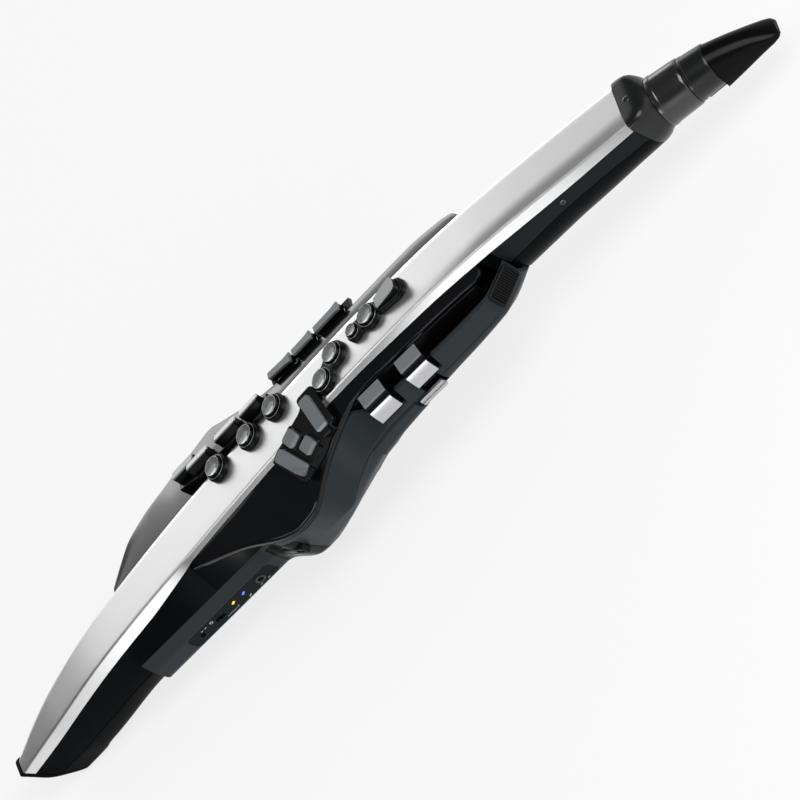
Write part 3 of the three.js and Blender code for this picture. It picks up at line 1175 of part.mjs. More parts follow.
// Inside: battery holder in the pod, the board above it, and what the board carries
const BOARD_THICK = 1.6;
const BOARD_WIDE = 26;
const BOARD_START_SHARE = 0.19;
const BOARD_END_SHARE = 0.655;
const HOLDER_WIDE = 33;
const HOLDER_LONG = LENGTH * 0.1433;
const CELL_RADIUS = 7;
const boardUp = bottom(along(BOARD_END_SHARE)) + SHELL_WALL + GAP;
place('main_board', block([along(BOARD_START_SHARE), -BOARD_WIDE / 2, boardUp],
  [along(BOARD_END_SHARE), BOARD_WIDE / 2, boardUp + BOARD_THICK]), 'board');
const holderLow = podBack + SHELL_WALL + GAP;
const holderHigh = boardUp - GAP;
const holderBlock = block([doorX - HOLDER_LONG / 2, -HOLDER_WIDE / 2, holderLow],
  [doorX + HOLDER_LONG / 2, HOLDER_WIDE / 2, holderHigh]);
const cellGroove = post(CELL_RADIUS * 0.3, -DOOR_LONG / 2 + DOOR_LAP, DOOR_LONG / 2 - DOOR_LAP, 0, 0, 8);
cellGroove.rotateY(Math.PI / 2);
cellGroove.translate(doorX, 0, holderLow);
place('battery_holder', cut(holderBlock, cellGroove), 'battery');
const SPEAKER_RADIUS = 10.5;
const SPEAKER_HIGH = 7;
const SPEAKER_SIDES = 20;
const SPEAKER_SHARE = 0.628;
const boardTop = boardUp + BOARD_THICK + GAP;
place('speaker', lathe([[0, 0], [SPEAKER_RADIUS * 0.6, 0], [SPEAKER_RADIUS, SPEAKER_HIGH * 0.7],
  [SPEAKER_RADIUS, SPEAKER_HIGH], [SPEAKER_RADIUS * 0.85, SPEAKER_HIGH],
  [SPEAKER_RADIUS * 0.3, SPEAKER_HIGH * 0.6], [0, SPEAKER_HIGH * 0.7],
], SPEAKER_SIDES), 'dark').position.set(along(SPEAKER_SHARE), 0, boardTop);
const SENSOR_SHARE = 0.585;
const SENSOR_SIZE = 10;
const SENSOR_NOZZLE = 2;
place('breath_sensor', join(
  block([-SENSOR_SIZE / 2, -SENSOR_SIZE / 2, 0], [SENSOR_SIZE / 2, SENSOR_SIZE / 2, SENSOR_SIZE * 0.6]),
  post(SENSOR_NOZZLE, SENSOR_SIZE / 2, SENSOR_SIZE * 1.3, 0, 0, 12)), 'dark')
  .position.set(along(SENSOR_SHARE), 0, boardTop);

const jackBores = jackHoles.map(inJack);
place('rear_shell', cut(shellBlank, ...palmNotches, jackPocket, ...jackBores, bayTool), 'shell');

// The group stands on its base: the origin is at the middle of the foot print
const bounds = new THREE.Box3();
GROUP.updateMatrixWorld(true);
GROUP.traverse((o) => {
  if (o.isMesh) bounds.union(new THREE.Box3().setFromObject(o, true));
});
const middleOfAll = bounds.getCenter(new THREE.Vector3());
GROUP.position.set(-middleOfAll.x, -middleOfAll.y, -bounds.min.z);

const scene = new THREE.Group();
scene.add(GROUP);
scene.updateMatrixWorld(true);
export default scene;
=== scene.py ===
"""Digital wind controller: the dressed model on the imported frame.

Every surface is worked out with numpy as rings of points carried along the body, in millimetres in
the builder's own datum, and is moved to the frame and to metres when its mesh is made.
"""
import logging
import math
from dataclasses import dataclass, field
from enum import Enum
from typing import Callable, Optional, Sequence, Union

import bpy
import numpy as np
from mathutils import Matrix, Vector


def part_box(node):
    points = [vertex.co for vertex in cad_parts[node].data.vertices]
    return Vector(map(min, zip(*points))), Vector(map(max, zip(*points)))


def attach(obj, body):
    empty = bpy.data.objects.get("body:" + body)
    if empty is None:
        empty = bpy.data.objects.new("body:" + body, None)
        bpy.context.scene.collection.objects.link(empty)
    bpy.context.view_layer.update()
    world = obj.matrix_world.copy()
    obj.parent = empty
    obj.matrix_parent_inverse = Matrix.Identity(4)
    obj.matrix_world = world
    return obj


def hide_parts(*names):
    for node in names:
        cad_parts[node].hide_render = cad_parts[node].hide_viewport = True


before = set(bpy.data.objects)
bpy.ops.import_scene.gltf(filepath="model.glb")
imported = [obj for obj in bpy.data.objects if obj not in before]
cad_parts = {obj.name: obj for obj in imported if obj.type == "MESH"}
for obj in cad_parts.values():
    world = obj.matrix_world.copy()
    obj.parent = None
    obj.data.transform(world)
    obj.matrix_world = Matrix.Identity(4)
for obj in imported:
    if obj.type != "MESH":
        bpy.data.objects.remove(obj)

LOG = logging.getLogger("wind_controller")
MM = 0.001
LENGTH = 670.0  # length of the instrument; places along it are shares of this
PANEL_START = 0.009  # share where the front panel and the bell's tube begin
PANEL_HALF = 16.7  # half width of the front panel's top
BELLY = 24.4  # depth of the belly under the datum
POD_BACK = -0.451  # height of the pod's back, as a share of the belly's depth
GAP = 0.3  # seam between two pieces
SNUG = 0.02  # seam where two pieces should look joined
ROOT = "body"
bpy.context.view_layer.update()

REAR_START, NECK_START, MOUTH_START = 0.176, 0.688, 0.8785  # shares where shell, neck and barrel begin
NO_FLOOR = -1e6  # height of a flat that cuts nothing
RIGHT_SIDE = ((1.0, 0.0, 0.0), (0.0, 0.0, 1.0), (0.0, -1.0, 0.0))  # axes along, up and out on the right

Array = np.ndarray
Shares = Sequence[tuple[float, float]]
Line = Callable[[Array], tuple[Array, Array]]


# Curves and sections.


class Run:
    """Monotone cubic through chosen points along the body, so it never bulges past its own points."""

    def __init__(self, shares: Shares, size: float) -> None:
        """Keep the points and their slopes.

        Args:
            shares: pairs of share of the length and share of the size.
            size: size in millimetres that the second share is of.
        """
        table = np.array(shares, dtype=float)
        self.x = table[:, 0] * LENGTH
        self.y = table[:, 1] * size
        rise = np.diff(self.y) / np.diff(self.x)
        product = rise[:-1] * rise[1:]
        total = rise[:-1] + rise[1:]
        inner = np.where(product > 0, 2 * product / np.where(total == 0, 1, total), 0)
        self.slope = np.concatenate([rise[:1], inner, rise[-1:]])

    def __call__(self, x: Array) -> Array:
        """Hermite form: two blends of the end values and two of the end slopes.

        Args:
            x: places along the body in millimetres.

        Returns:
            The curve's values there, held level past both ends.
        """
        place = np.clip(np.asarray(x, dtype=float), self.x[0], self.x[-1])
        i = np.clip(np.searchsorted(self.x, place) - 1, 0, len(self.x) - 2)
        span = self.x[i + 1] - self.x[i]
        t = (place - self.x[i]) / span
        first = (1 + 2 * t) * (1 - t) ** 2 * self.y[i] + t * (1 - t) ** 2 * span * self.slope[i]
        return first + t * t * (3 - 2 * t) * self.y[i + 1] + t * t * (t - 1) * span * self.slope[i + 1]

    def at(self, x: float) -> float:
        """The curve's value at one place along the body."""
        return float(self(np.array([x]))[0])


def run(size: float, shares: Shares) -> Run:
    """Dataclass field with a curve through shares of the length and of a size."""
    return field(default_factory=lambda: Run(shares, size))


def along(share: float) -> float:
    """Place along the body at a share of its length."""
    return share * LENGTH


def smooth(x: Array, start: float, end: float) -> Array:
    """Blend from 0 at start to 1 at end with level ends (3tt - 2ttt)."""
    t = np.clip((x - start) / (end - start), 0, 1)
    return t * t * (3 - 2 * t)


def section(*points: Sequence[Array | float]) -> Array:
    """Stack [across, up] pairs, each an array over the stations or one number, into (stations, points, 2)."""
    count = max(np.size(v) for p in points for v in p)
    return np.stack([np.stack([np.broadcast_to(v, count) for v in p], -1) for p in points], 1)


def rounded(ring: Array, radii: Sequence[float], steps: int = 5) -> Array:
    """Round the corners of closed outlines.

    Each corner becomes a quadratic curve that starts and ends on its two sides, a radius away or at
    most 0.45 of the side, with the corner itself as its control point.

    Args:
        ring: outlines as (stations, corners, 2).
        radii: reach of the rounding at each corner; 0 keeps it sharp.
        steps: points on each rounded corner.

    Returns:
        The outlines with more points, as (stations, points, 2).
    """
    before = np.roll(ring, 1, axis=1)
    after = np.roll(ring, -1, axis=1)
    parts = []
    t = np.linspace(0, 1, steps)[None, :, None]
    for i, radius in enumerate(radii):
        corner = ring[:, i]
        if radius <= 0:
            parts.append(corner[:, None])
            continue
        ends = []
        for other in (before[:, i], after[:, i]):
            side = other - corner
            long = np.linalg.norm(side, axis=-1, keepdims=True) + 1e-9
            ends.append(corner + side / long * np.minimum(radius, 0.45 * long))
        a, b, c = ends[0][:, None], corner[:, None], ends[1][:, None]
        parts.append((1 - t) ** 2 * a + 2 * t * (1 - t) * b + t * t * c)
    return np.concatenate(parts, axis=1)


def stations(start: float, end: float, step: float = 2.0) -> Array:
    """Even places from start to end, at most a step apart."""
    return np.linspace(start, end, max(2, int(math.ceil((end - start) / step)) + 1))


def between(start: float, end: float, step: float = 2.0) -> Array:
    """Even places between two shares of the length."""
    return stations(along(start), along(end), step)


def rings_at(x: Array, outline: Array) -> Array:
    """Stand outlines of [across, up] at their places along the body, as (stations, points, 3)."""
    place = np.broadcast_to(np.asarray(x, dtype=float)[:, None], outline.shape[:2])
    return np.concatenate([place[..., None], outline], axis=-1)


# Meshes.


@dataclass(frozen=True)
class Seat:
    """A local frame on the instrument: rows of axes are the local X, Y and Z."""

    origin: tuple[float, float, float] = (0.0, 0.0, 0.0)
    axes: tuple[tuple[float, ...], ...] = ((1.0, 0.0, 0.0), (0.0, 1.0, 0.0), (0.0, 0.0, 1.0))

    def to_body(self, points: Array) -> Array:
        """Points of the local frame in the instrument's datum (origin plus local axes)."""
        return np.asarray(points, dtype=float) @ np.array(self.axes) + np.array(self.origin)

    def moved(self, u: float, v: float = 0.0, w: float = 0.0, turn: float = 0.0) -> "Seat":
        """A seat shifted in this one's axes and turned about its Z.

        Args:
            u: shift along the local X.
            v: shift along the local Y.
            w: shift along the local Z.
            turn: angle about the local Z in radians.

        Returns:
            The new seat.
        """
        origin = self.to_body([u, v, w])
        x, y, z = np.array(self.axes)
        c, s = math.cos(turn), math.sin(turn)
        return Seat(tuple(origin), (tuple(c * x + s * y), tuple(c * y - s * x), tuple(z)))


def tilted(x: float, y: float, z: float, slope: float, tilt: float) -> Seat:
    """Frame whose X climbs at a slope and whose Z leans across by a tilt."""
    c, s, ct, st = math.cos(slope), math.sin(slope), math.cos(tilt), math.sin(tilt)
    return Seat((x, y, z), ((c, 0, s), (-s * st, ct, c * st), (-s * ct, -st, c * ct)))


def line_at(line: Line, x: float) -> tuple[float, float]:
    """Across and up of a body line at one place."""
    y, z = line(np.array([x]))
    return float(y[0]), float(z[0])

def find_shift() -> Array:
    """Shift from the builder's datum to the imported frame, from three nodes whose places are known."""
    panel_low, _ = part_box("front_panel")
    mouth_low, mouth_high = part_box("mouthpiece")
    _, door_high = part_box("battery_door")
    return np.array([panel_low[0] / MM - along(PANEL_START), (mouth_low[1] + mouth_high[1]) / 2 / MM,
                     door_high[2] / MM - (POD_BACK * BELLY - GAP)])


SHIFT = find_shift()


@dataclass
class Surface:
    """A closed mesh in the datum, in millimetres."""

    points: Array
    faces: list[tuple[int, ...]]

    def outward(self) -> "Surface":
        """Turn the faces so that the signed volume (sum of a . b x c over six) is positive."""
        total = 0.0
        for f in self.faces:
            fan = self.points[list(f)]
            a, b, c = fan[0], fan[1:-1], fan[2:]
            total += float(np.sum(np.einsum("j,ij->i", a, np.cross(b, c))))
        if total < 0:
            self.faces = [tuple(reversed(f)) for f in self.faces]
        return self


def grid_faces(rows: int, count: int, start: int = 0) -> list[tuple[int, ...]]:
    """Quads between neighbouring rings of a tube of closed rings."""
    r, i = np.meshgrid(np.arange(rows - 1), np.arange(count), indexing="ij")
    a = start + r * count + i
    b = start + r * count + (i + 1) % count
    quads = np.stack([a, b, b + count, a + count], -1).reshape(-1, 4)
    return [tuple(int(v) for v in q) for q in quads]


def tube(rings: Array) -> Surface:
    """Closed solid from rings (rows, points, 3), with a flat face on each end."""
    rows, count = rings.shape[:2]
    faces = grid_faces(rows, count)
    faces.append(tuple(range(count))[::-1])
    faces.append(tuple(range((rows - 1) * count, rows * count)))
    return Surface(rings.reshape(-1, 3), faces).outward()


def turned(profile: Array, seat: Seat, sides: int = 56, closed: bool = False) -> Surface:
    """Solid of revolution: radius and height of a profile, turned about the seat's Z.

    Args:
        profile: (points, 2) of radius and height; an open one starts and ends on the axis.
        seat: frame whose Z is the axis.
        sides: number of steps round the axis.
        closed: whether the profile closes on itself, as for a ring.

    Returns:
        The solid.
    """
    angle = np.arange(sides) * 2 * math.pi / sides
    body = profile if closed else profile[1:-1]
    local = np.stack([body[:, 0, None] * np.cos(angle), body[:, 0, None] * np.sin(angle),
                      np.broadcast_to(body[:, 1, None], (len(body), sides))], -1)
    points, last = local.reshape(-1, 3), (len(body) - 1) * sides
    faces = grid_faces(len(body), sides)
    around = [(i, (i + 1) % sides) for i in range(sides)]
    if closed:
        faces += [(last + i, last + j, j, i) for i, j in around]
    else:
        low, high = len(points), len(points) + 1
        faces += [(j, i, low) for i, j in around] + [(last + i, last + j, high) for i, j in around]
        points = np.concatenate([points, [[0, 0, profile[0, 1]], [0, 0, profile[-1, 1]]]])
    return Surface(seat.to_body(points), faces).outward()


def soft_rectangle(long: float, wide: float, corner: float, steps: int = 6) -> Array:
    """Outline of a rectangle with rounded corners, as (points, 2)."""
    a, b = long / 2, wide / 2
    return rounded(np.array([[[-a, -b], [a, -b], [a, b], [-a, b]]], dtype=float), [corner] * 4, steps)[0]


def inset(outline: Array, amount: float) -> Array:
    """Move an outline's points inwards along their mean side normals by an amount."""
    ahead = np.roll(outline, -1, axis=0) - outline
    behind = outline - np.roll(outline, 1, axis=0)
    ahead /= np.linalg.norm(ahead, axis=1, keepdims=True) + 1e-9
    behind /= np.linalg.norm(behind, axis=1, keepdims=True) + 1e-9
    normal = np.stack([-(ahead + behind)[:, 1], (ahead + behind)[:, 0]], -1)
    normal /= np.linalg.norm(normal, axis=1, keepdims=True) + 1e-9
    area = np.sum(outline[:, 0] * np.roll(outline[:, 1], -1) - outline[:, 1] * np.roll(outline[:, 0], -1))
    return outline + normal * amount * np.sign(area)


def block(seat: Seat, outline: Array, levels: Sequence[tuple[float, float]],
          top: Optional[Callable[[Array], Array]] = None) -> Surface:
    """Solid from one outline carried up through levels.

    Args:
        seat: frame whose Z is the way up.
        outline: (points, 2) in the seat's X and Y.
        levels: pairs of inset and height, from the bottom up.
        top: extra height at [x, y] points, added in proportion to the level's share of the last height.

    Returns:
        The solid.
    """
    highest = levels[-1][1]
    rows = []
    for shrink, height in levels:
        ring = inset(outline, shrink)
        z = np.full(len(ring), float(height))
        if top is not None:
            z = z + top(ring) * max(0.0, height / highest)
        rows.append(np.column_stack([ring, z]))
    solid = tube(np.array(rows))
    return Surface(seat.to_body(solid.points), solid.faces).outward()


# Finishes.


class Slot(Enum):
    """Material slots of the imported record."""

    SILVER = "silver_panel"
    GLOSS = "gloss_panel"
    REAR = "rear_plastic"
    DARK = "dark_plastic"
    TOUCH = "key_touch"
    PLATED = "plated_metal"
    BOARD = "board"
    BATTERY = "battery"


class Grain(Enum):
    """How the fine grain of a finish runs."""

    EVEN = (1.0, 1.0, 1.0)
    BRUSHED = (0.06, 1.0, 1.0)
    FIBRE = (0.03, 1.0, 1.0)


Term = Union[bpy.types.NodeSocket, float, Sequence[float]]


@dataclass(frozen=True)
class Graph:
    """A shader tree with short ways to add nodes and to join them."""

    tree: bpy.types.NodeTree

    def join(self, source: Term, target: bpy.types.NodeSocket) -> None:
        """Link a socket to an input, or set a plain value on the input itself."""
        if isinstance(source, bpy.types.NodeSocket):
            self.tree.links.new(source, target)
        else:
            target.default_value = source

    def add(self, kind: str, inputs: Optional[dict[Union[str, int], Term]] = None,
            **settings: object) -> bpy.types.Node:
        """Add a node.

        Args:
            kind: node type without its ShaderNode prefix.
            inputs: socket or value for inputs, by name or number.
            settings: properties of the node.

        Returns:
            The node.
        """
        made = self.tree.nodes.new(f"ShaderNode{kind}")
        for name, value in settings.items():
            setattr(made, name, value)
        for name, term in (inputs or {}).items():
            self.join(term, made.inputs[name])
        return made

    def maths(self, operation: str, *terms: Term) -> bpy.types.NodeSocket:
        """Result of one maths node on its terms."""
        return self.add("Math", dict(enumerate(terms)), operation=operation).outputs[0]

    def blend(self, value: bpy.types.NodeSocket, start: float, end: float, low: float,
              high: float) -> bpy.types.NodeSocket:
        """Level that goes smoothly from low to high while the value goes from start to end."""
        return self.add("MapRange", {"Value": value, "From Min": start, "From Max": end, "To Min": low,
                                     "To Max": high}, interpolation_type="SMOOTHSTEP").outputs["Result"]


def skin_group() -> bpy.types.NodeTree:
    """Node group for moulded and brushed skins.

    A fine noise gives the grain's height and a slow noise gives drifts of tone and of gloss. Both
    read Object coordinates.

    Returns:
        The group, built once.
    """
    known = bpy.data.node_groups.get("Moulded skin")
    if known:
        return known
    group = bpy.data.node_groups.new("Moulded skin", "ShaderNodeTree")
    for side, name, kind, start in (
            ("INPUT", "Colour", "Color", (0.5, 0.5, 0.5, 1)), ("INPUT", "Tone Drift", "Float", 0.1),
            ("INPUT", "Roughness", "Float", 0.4), ("INPUT", "Gloss Drift", "Float", 0.1),
            ("INPUT", "Grain Scale", "Float", 900.0), ("INPUT", "Grain Height", "Float", 0.00002),
            ("INPUT", "Grain Run", "Vector", (1, 1, 1)), ("OUTPUT", "Colour", "Color", None),
            ("OUTPUT", "Roughness", "Float", None), ("OUTPUT", "Normal", "Vector", None)):
        made = group.interface.new_socket(name=name, in_out=side, socket_type=f"NodeSocket{kind}")
        if start is not None:
            made.default_value = start
    graph = Graph(group)
    given, result = group.nodes.new("NodeGroupInput").outputs, group.nodes.new("NodeGroupOutput").inputs
    place = graph.add("TexCoord").outputs["Object"]
    grain = graph.add("VectorMath", {0: place, 1: given["Grain Run"]}, operation="MULTIPLY").outputs[0]
    fine = graph.add("TexNoise", {"Vector": grain, "Scale": given["Grain Scale"], "Detail": 3.0})
    slow = graph.add("TexNoise", {"Vector": place, "Scale": 38.0, "Detail": 4.0, "Roughness": 0.62})
    bump = graph.add("Bump", {"Distance": given["Grain Height"], "Height": fine.outputs["Fac"]})
    drift = graph.maths("SUBTRACT", slow.outputs["Fac"], 0.5)
    tone = graph.maths("MULTIPLY_ADD", drift, given["Tone Drift"], 1.0)
    tinted = graph.add("VectorMath", {0: given["Colour"], "Scale": tone}, operation="SCALE")
    graph.join(tinted.outputs[0], result["Colour"])
    gloss = graph.maths("MULTIPLY_ADD", drift, given["Gloss Drift"], given["Roughness"])
    graph.join(gloss, result["Roughness"])
    graph.join(bump.outputs["Normal"], result["Normal"])
    return group


@dataclass(frozen=True)
class Finish:
    """One surface finish: the shader's plain values and the skin group's amounts."""

    label: str
    slot: Slot
    colour: tuple[float, float, float]
    rough: float
    metallic: float = 0.0
    coat: float = 0.0
    coat_rough: float = 0.04
    specular: float = 0.5
    tone_drift: float = 0.12
    gloss_drift: float = 0.1
    grain_scale: float = 900.0
    grain_height: float = 0.00001
    grain: Grain = Grain.EVEN
    glow: float = 0.0

    def material(self) -> bpy.types.Material:
        """The finish's material, built at its first use."""
        known = bpy.data.materials.get(self.label)
        if known:
            return known
        made = bpy.data.materials.new(self.label)
        made.use_nodes = True
        graph, tint = Graph(made.node_tree), (*self.colour, 1.0)
        skin = graph.add("Group", {
            "Colour": tint, "Tone Drift": self.tone_drift, "Roughness": self.rough,
            "Gloss Drift": self.gloss_drift, "Grain Scale": self.grain_scale,
            "Grain Height": self.grain_height, "Grain Run": self.grain.value,
        }, node_tree=skin_group()).outputs
        terms = {"Base Color": skin["Colour"], "Roughness": skin["Roughness"], "Normal": skin["Normal"],
                 "Metallic": self.metallic, "Specular IOR Level": self.specular, "Coat Weight": self.coat,
                 "Coat Roughness": self.coat_rough}
        if self.glow:
            terms |= {"Emission Color": tint, "Emission Strength": self.glow}
        for name, term in terms.items():
            graph.join(term, made.node_tree.nodes["Principled BSDF"].inputs[name])
        return made


SILVER = Finish("Satin silver", Slot.SILVER, (0.76, 0.762, 0.765), 0.31, metallic=0.92, tone_drift=0.03,
                gloss_drift=0.03, grain_scale=1500.0, grain_height=0.0000012, grain=Grain.BRUSHED)
GLOSS = Finish("Piano black", Slot.GLOSS, (0.0022, 0.0026, 0.0036), 0.1, specular=0.3, gloss_drift=0.05,
               grain_scale=120.0)
SHELL = Finish("Moulded grey", Slot.REAR, (0.0185, 0.024, 0.0285), 0.44, specular=0.16, tone_drift=0.16,
               gloss_drift=0.12, grain_scale=1400.0, grain_height=0.00003)
BASE = Finish("Black base", Slot.DARK, (0.0026, 0.0028, 0.0032), 0.24, specular=0.16, grain_scale=500.0,
              grain_height=0.000006)
TOUCH = Finish("Key grey", Slot.TOUCH, (0.135, 0.147, 0.153), 0.3, coat=0.4, gloss_drift=0.12,
               grain_scale=1100.0, grain_height=0.000012)
TOUCH_LIGHT = Finish("Key light grey", Slot.TOUCH, (0.27, 0.283, 0.29), 0.3, coat=0.4, gloss_drift=0.12,
                     grain_scale=1100.0, grain_height=0.000012)
TOUCH_TOP = Finish("Key pale", Slot.TOUCH, (0.5, 0.51, 0.515), 0.3, coat=0.3, tone_drift=0.1)
PEARL = Finish("Pearl touch", Slot.TOUCH, (0.15, 0.158, 0.162), 0.14, coat=1.0, tone_drift=0.5,
               gloss_drift=0.08, grain_scale=260.0, grain_height=0.000003)
CHROME = Finish("Bright plate", Slot.PLATED, (0.8, 0.81, 0.82), 0.16, metallic=1.0, tone_drift=0.03,
                gloss_drift=0.08, grain_scale=700.0, grain_height=0.000004, grain=Grain.BRUSHED)
PALM = Finish("Soft plate", Slot.PLATED, (0.5, 0.5, 0.515), 0.33, metallic=1.0, tone_drift=0.04,
              gloss_drift=0.06, grain_height=0.000003, grain=Grain.BRUSHED)
# Painted highlight: pale metal for thin rings that stand in for the light caught by the pearl caps' rims and
# the bases' inner edges.
HIGHLIGHT_PLATE = Finish("Smoked plate", Slot.TOUCH, (0.36, 0.37, 0.375), 0.22, metallic=0.8, tone_drift=0.06,
                     gloss_drift=0.08, grain_scale=800.0, grain_height=0.000003)
EBONITE = Finish("Ebonite", Slot.GLOSS, (0.002, 0.002, 0.0023), 0.24, specular=0.1, grain_scale=300.0,
                 grain_height=0.000006)
# Painted light: a lighter copy of the piano black with a stronger reflection, which makes the left wing look
# more brightly lit.
GLOSS_LIT_COPY = Finish("Gloss panel left", Slot.GLOSS, (0.003, 0.0034, 0.004), 0.17, specular=0.7,
                     gloss_drift=0.05)
DEEP = Finish("Deep black", Slot.GLOSS, (0.0032, 0.0038, 0.0044), 0.24, specular=0.025, gloss_drift=0.08,
              grain_height=0.000008)
POD = Finish("Soft black", Slot.REAR, (0.0125, 0.016, 0.018), 0.42, specular=0.03, gloss_drift=0.08,
             grain_scale=1300.0, grain_height=0.00002)
BARREL = Finish("Barrel black", Slot.REAR, (0.0045, 0.005, 0.0055), 0.2, specular=0.9, gloss_drift=0.08,
                grain_height=0.000008)
SATIN = Finish("Satin black", Slot.REAR, (0.005, 0.0055, 0.006), 0.25, specular=0.4, grain_scale=1200.0,
               grain_height=0.000012)
REED = Finish("Cane black", Slot.DARK, (0.008, 0.008, 0.009), 0.38, specular=0.4, grain_scale=1600.0,
              grain_height=0.00003, grain=Grain.FIBRE)
HOLLOW = Finish("Dark hollow", Slot.DARK, (0.002, 0.002, 0.002), 0.7, specular=0.2)
STEEL = Finish("Black screw", Slot.PLATED, (0.09, 0.092, 0.095), 0.32, metallic=1.0, gloss_drift=0.2)
MARK = Finish("White print", Slot.REAR, (0.62, 0.64, 0.66), 0.5)
BLUE_LIGHT = Finish("Blue lamp", Slot.REAR, (0.06, 0.13, 0.8), 0.2, glow=1.2)
AMBER_LIGHT = Finish("Amber lamp", Slot.REAR, (0.95, 0.5, 0.03), 0.2, glow=1.1)
RESIN = Finish("Board resin", Slot.BOARD, (0.012, 0.09, 0.045), 0.35, tone_drift=0.5, coat=0.3)
CELLS = Finish("Cell tray", Slot.BATTERY, (0.02, 0.02, 0.022), 0.4, tone_drift=0.4)
CONE = Finish("Speaker cone", Slot.DARK, (0.012, 0.012, 0.012), 0.75, grain_scale=1400.0,
              grain_height=0.00004)


class Edge(Enum):
    """Width in millimetres of the small round on a piece's sharp edges."""

    NONE = 0.0
    HAIR = 0.12
    FINE = 0.25
    SOFT = 0.5
    FULL = 0.9


SHARP = math.radians(33)


def mesh_object(name: str, surface: Surface) -> bpy.types.Object:
    """Make an object in the scene from a solid, moved to the frame and to metres."""
    mesh = bpy.data.meshes.new(name)
    mesh.from_pydata(((surface.points + SHIFT) * MM).tolist(), [], surface.faces)
    mesh.polygons.foreach_set("use_smooth", np.ones(len(mesh.polygons), dtype=bool))
    mesh.update()
    made = bpy.data.objects.new(name, mesh)
    bpy.context.scene.collection.objects.link(made)
    return made


class Cut(Enum):
    """What a tool does to a solid."""

    TAKE = "DIFFERENCE"
    JOIN = "UNION"


def carve(target: bpy.types.Object, tools: Sequence[Surface], cut: Cut = Cut.TAKE) -> None:
    """Work tools into an object and store the result in its mesh.

    Args:
        target: object to work on.
        tools: closed solids.
        cut: whether the tools are taken out or joined on.
    """
    cutters = [mesh_object("cutter", tool) for tool in tools]
    for cutter in cutters:
        step = target.modifiers.new("cut", "BOOLEAN")
        step.operation = cut.value
        step.solver = "EXACT"
        step.object = cutter
    graph = bpy.context.evaluated_depsgraph_get()
    result = bpy.data.meshes.new_from_object(target.evaluated_get(graph))
    target.modifiers.clear()
    old = target.data
    target.data = result
    bpy.data.meshes.remove(old)
    for cutter in cutters:
        shape = cutter.data
        bpy.data.objects.remove(cutter)
        bpy.data.meshes.remove(shape)
    result.polygons.foreach_set("use_smooth", np.ones(len(result.polygons), dtype=bool))


def enrol(made: bpy.types.Object, name: str, finish: Finish, body: str = ROOT, stands_for: Sequence[str] = (),
          edge: Edge = Edge.NONE) -> bpy.types.Object:
    """Give an object its name, finish, edges and moving body.

    Args:
        made: the object.
        name: piece name.
        finish: its finish.
        body: moving body that it rides on.
        stands_for: CAD nodes that it stands for.
        edge: round on its sharp edges.

    Returns:
        The same object.
    """
    made.name = made.data.name = name
    made.data.materials.clear()
    made.data.materials.append(finish.material())
    if edge is Edge.NONE:
        made.data.set_sharp_from_angle(angle=SHARP)
    else:
        step = made.modifiers.new("edge", "BEVEL")
        step.width = edge.value * MM
        step.segments = 2
        step.limit_method = "ANGLE"
        step.angle_limit = SHARP
        step.harden_normals = True
    shade = made.modifiers.new("shade", "WEIGHTED_NORMAL")
    shade.keep_sharp = True
    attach(made, body)
    if stands_for:
        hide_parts(*stands_for)
    LOG.info("%s: %d faces on %s", name, len(made.data.polygons), body)
    return made


def piece(name: str, surface: Surface, finish: Finish, body: str = ROOT, stands_for: Sequence[str] = (),
          edge: Edge = Edge.NONE, tools: Sequence[Surface] = ()) -> bpy.types.Object:
    """Make one finished piece of the instrument from a solid and the tools cut out of it."""
    made = mesh_object(name, surface)
    if tools:
        carve(made, tools)
    return enrol(made, name, finish, body, stands_for, edge)


def dress(node: str, finish: Finish) -> None:
    """Give a CAD node that stays as it is its finish."""
    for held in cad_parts[node].material_slots:
        held.material = finish.material()
    LOG.info("%s keeps its CAD shape", node)


# The lines of the body.


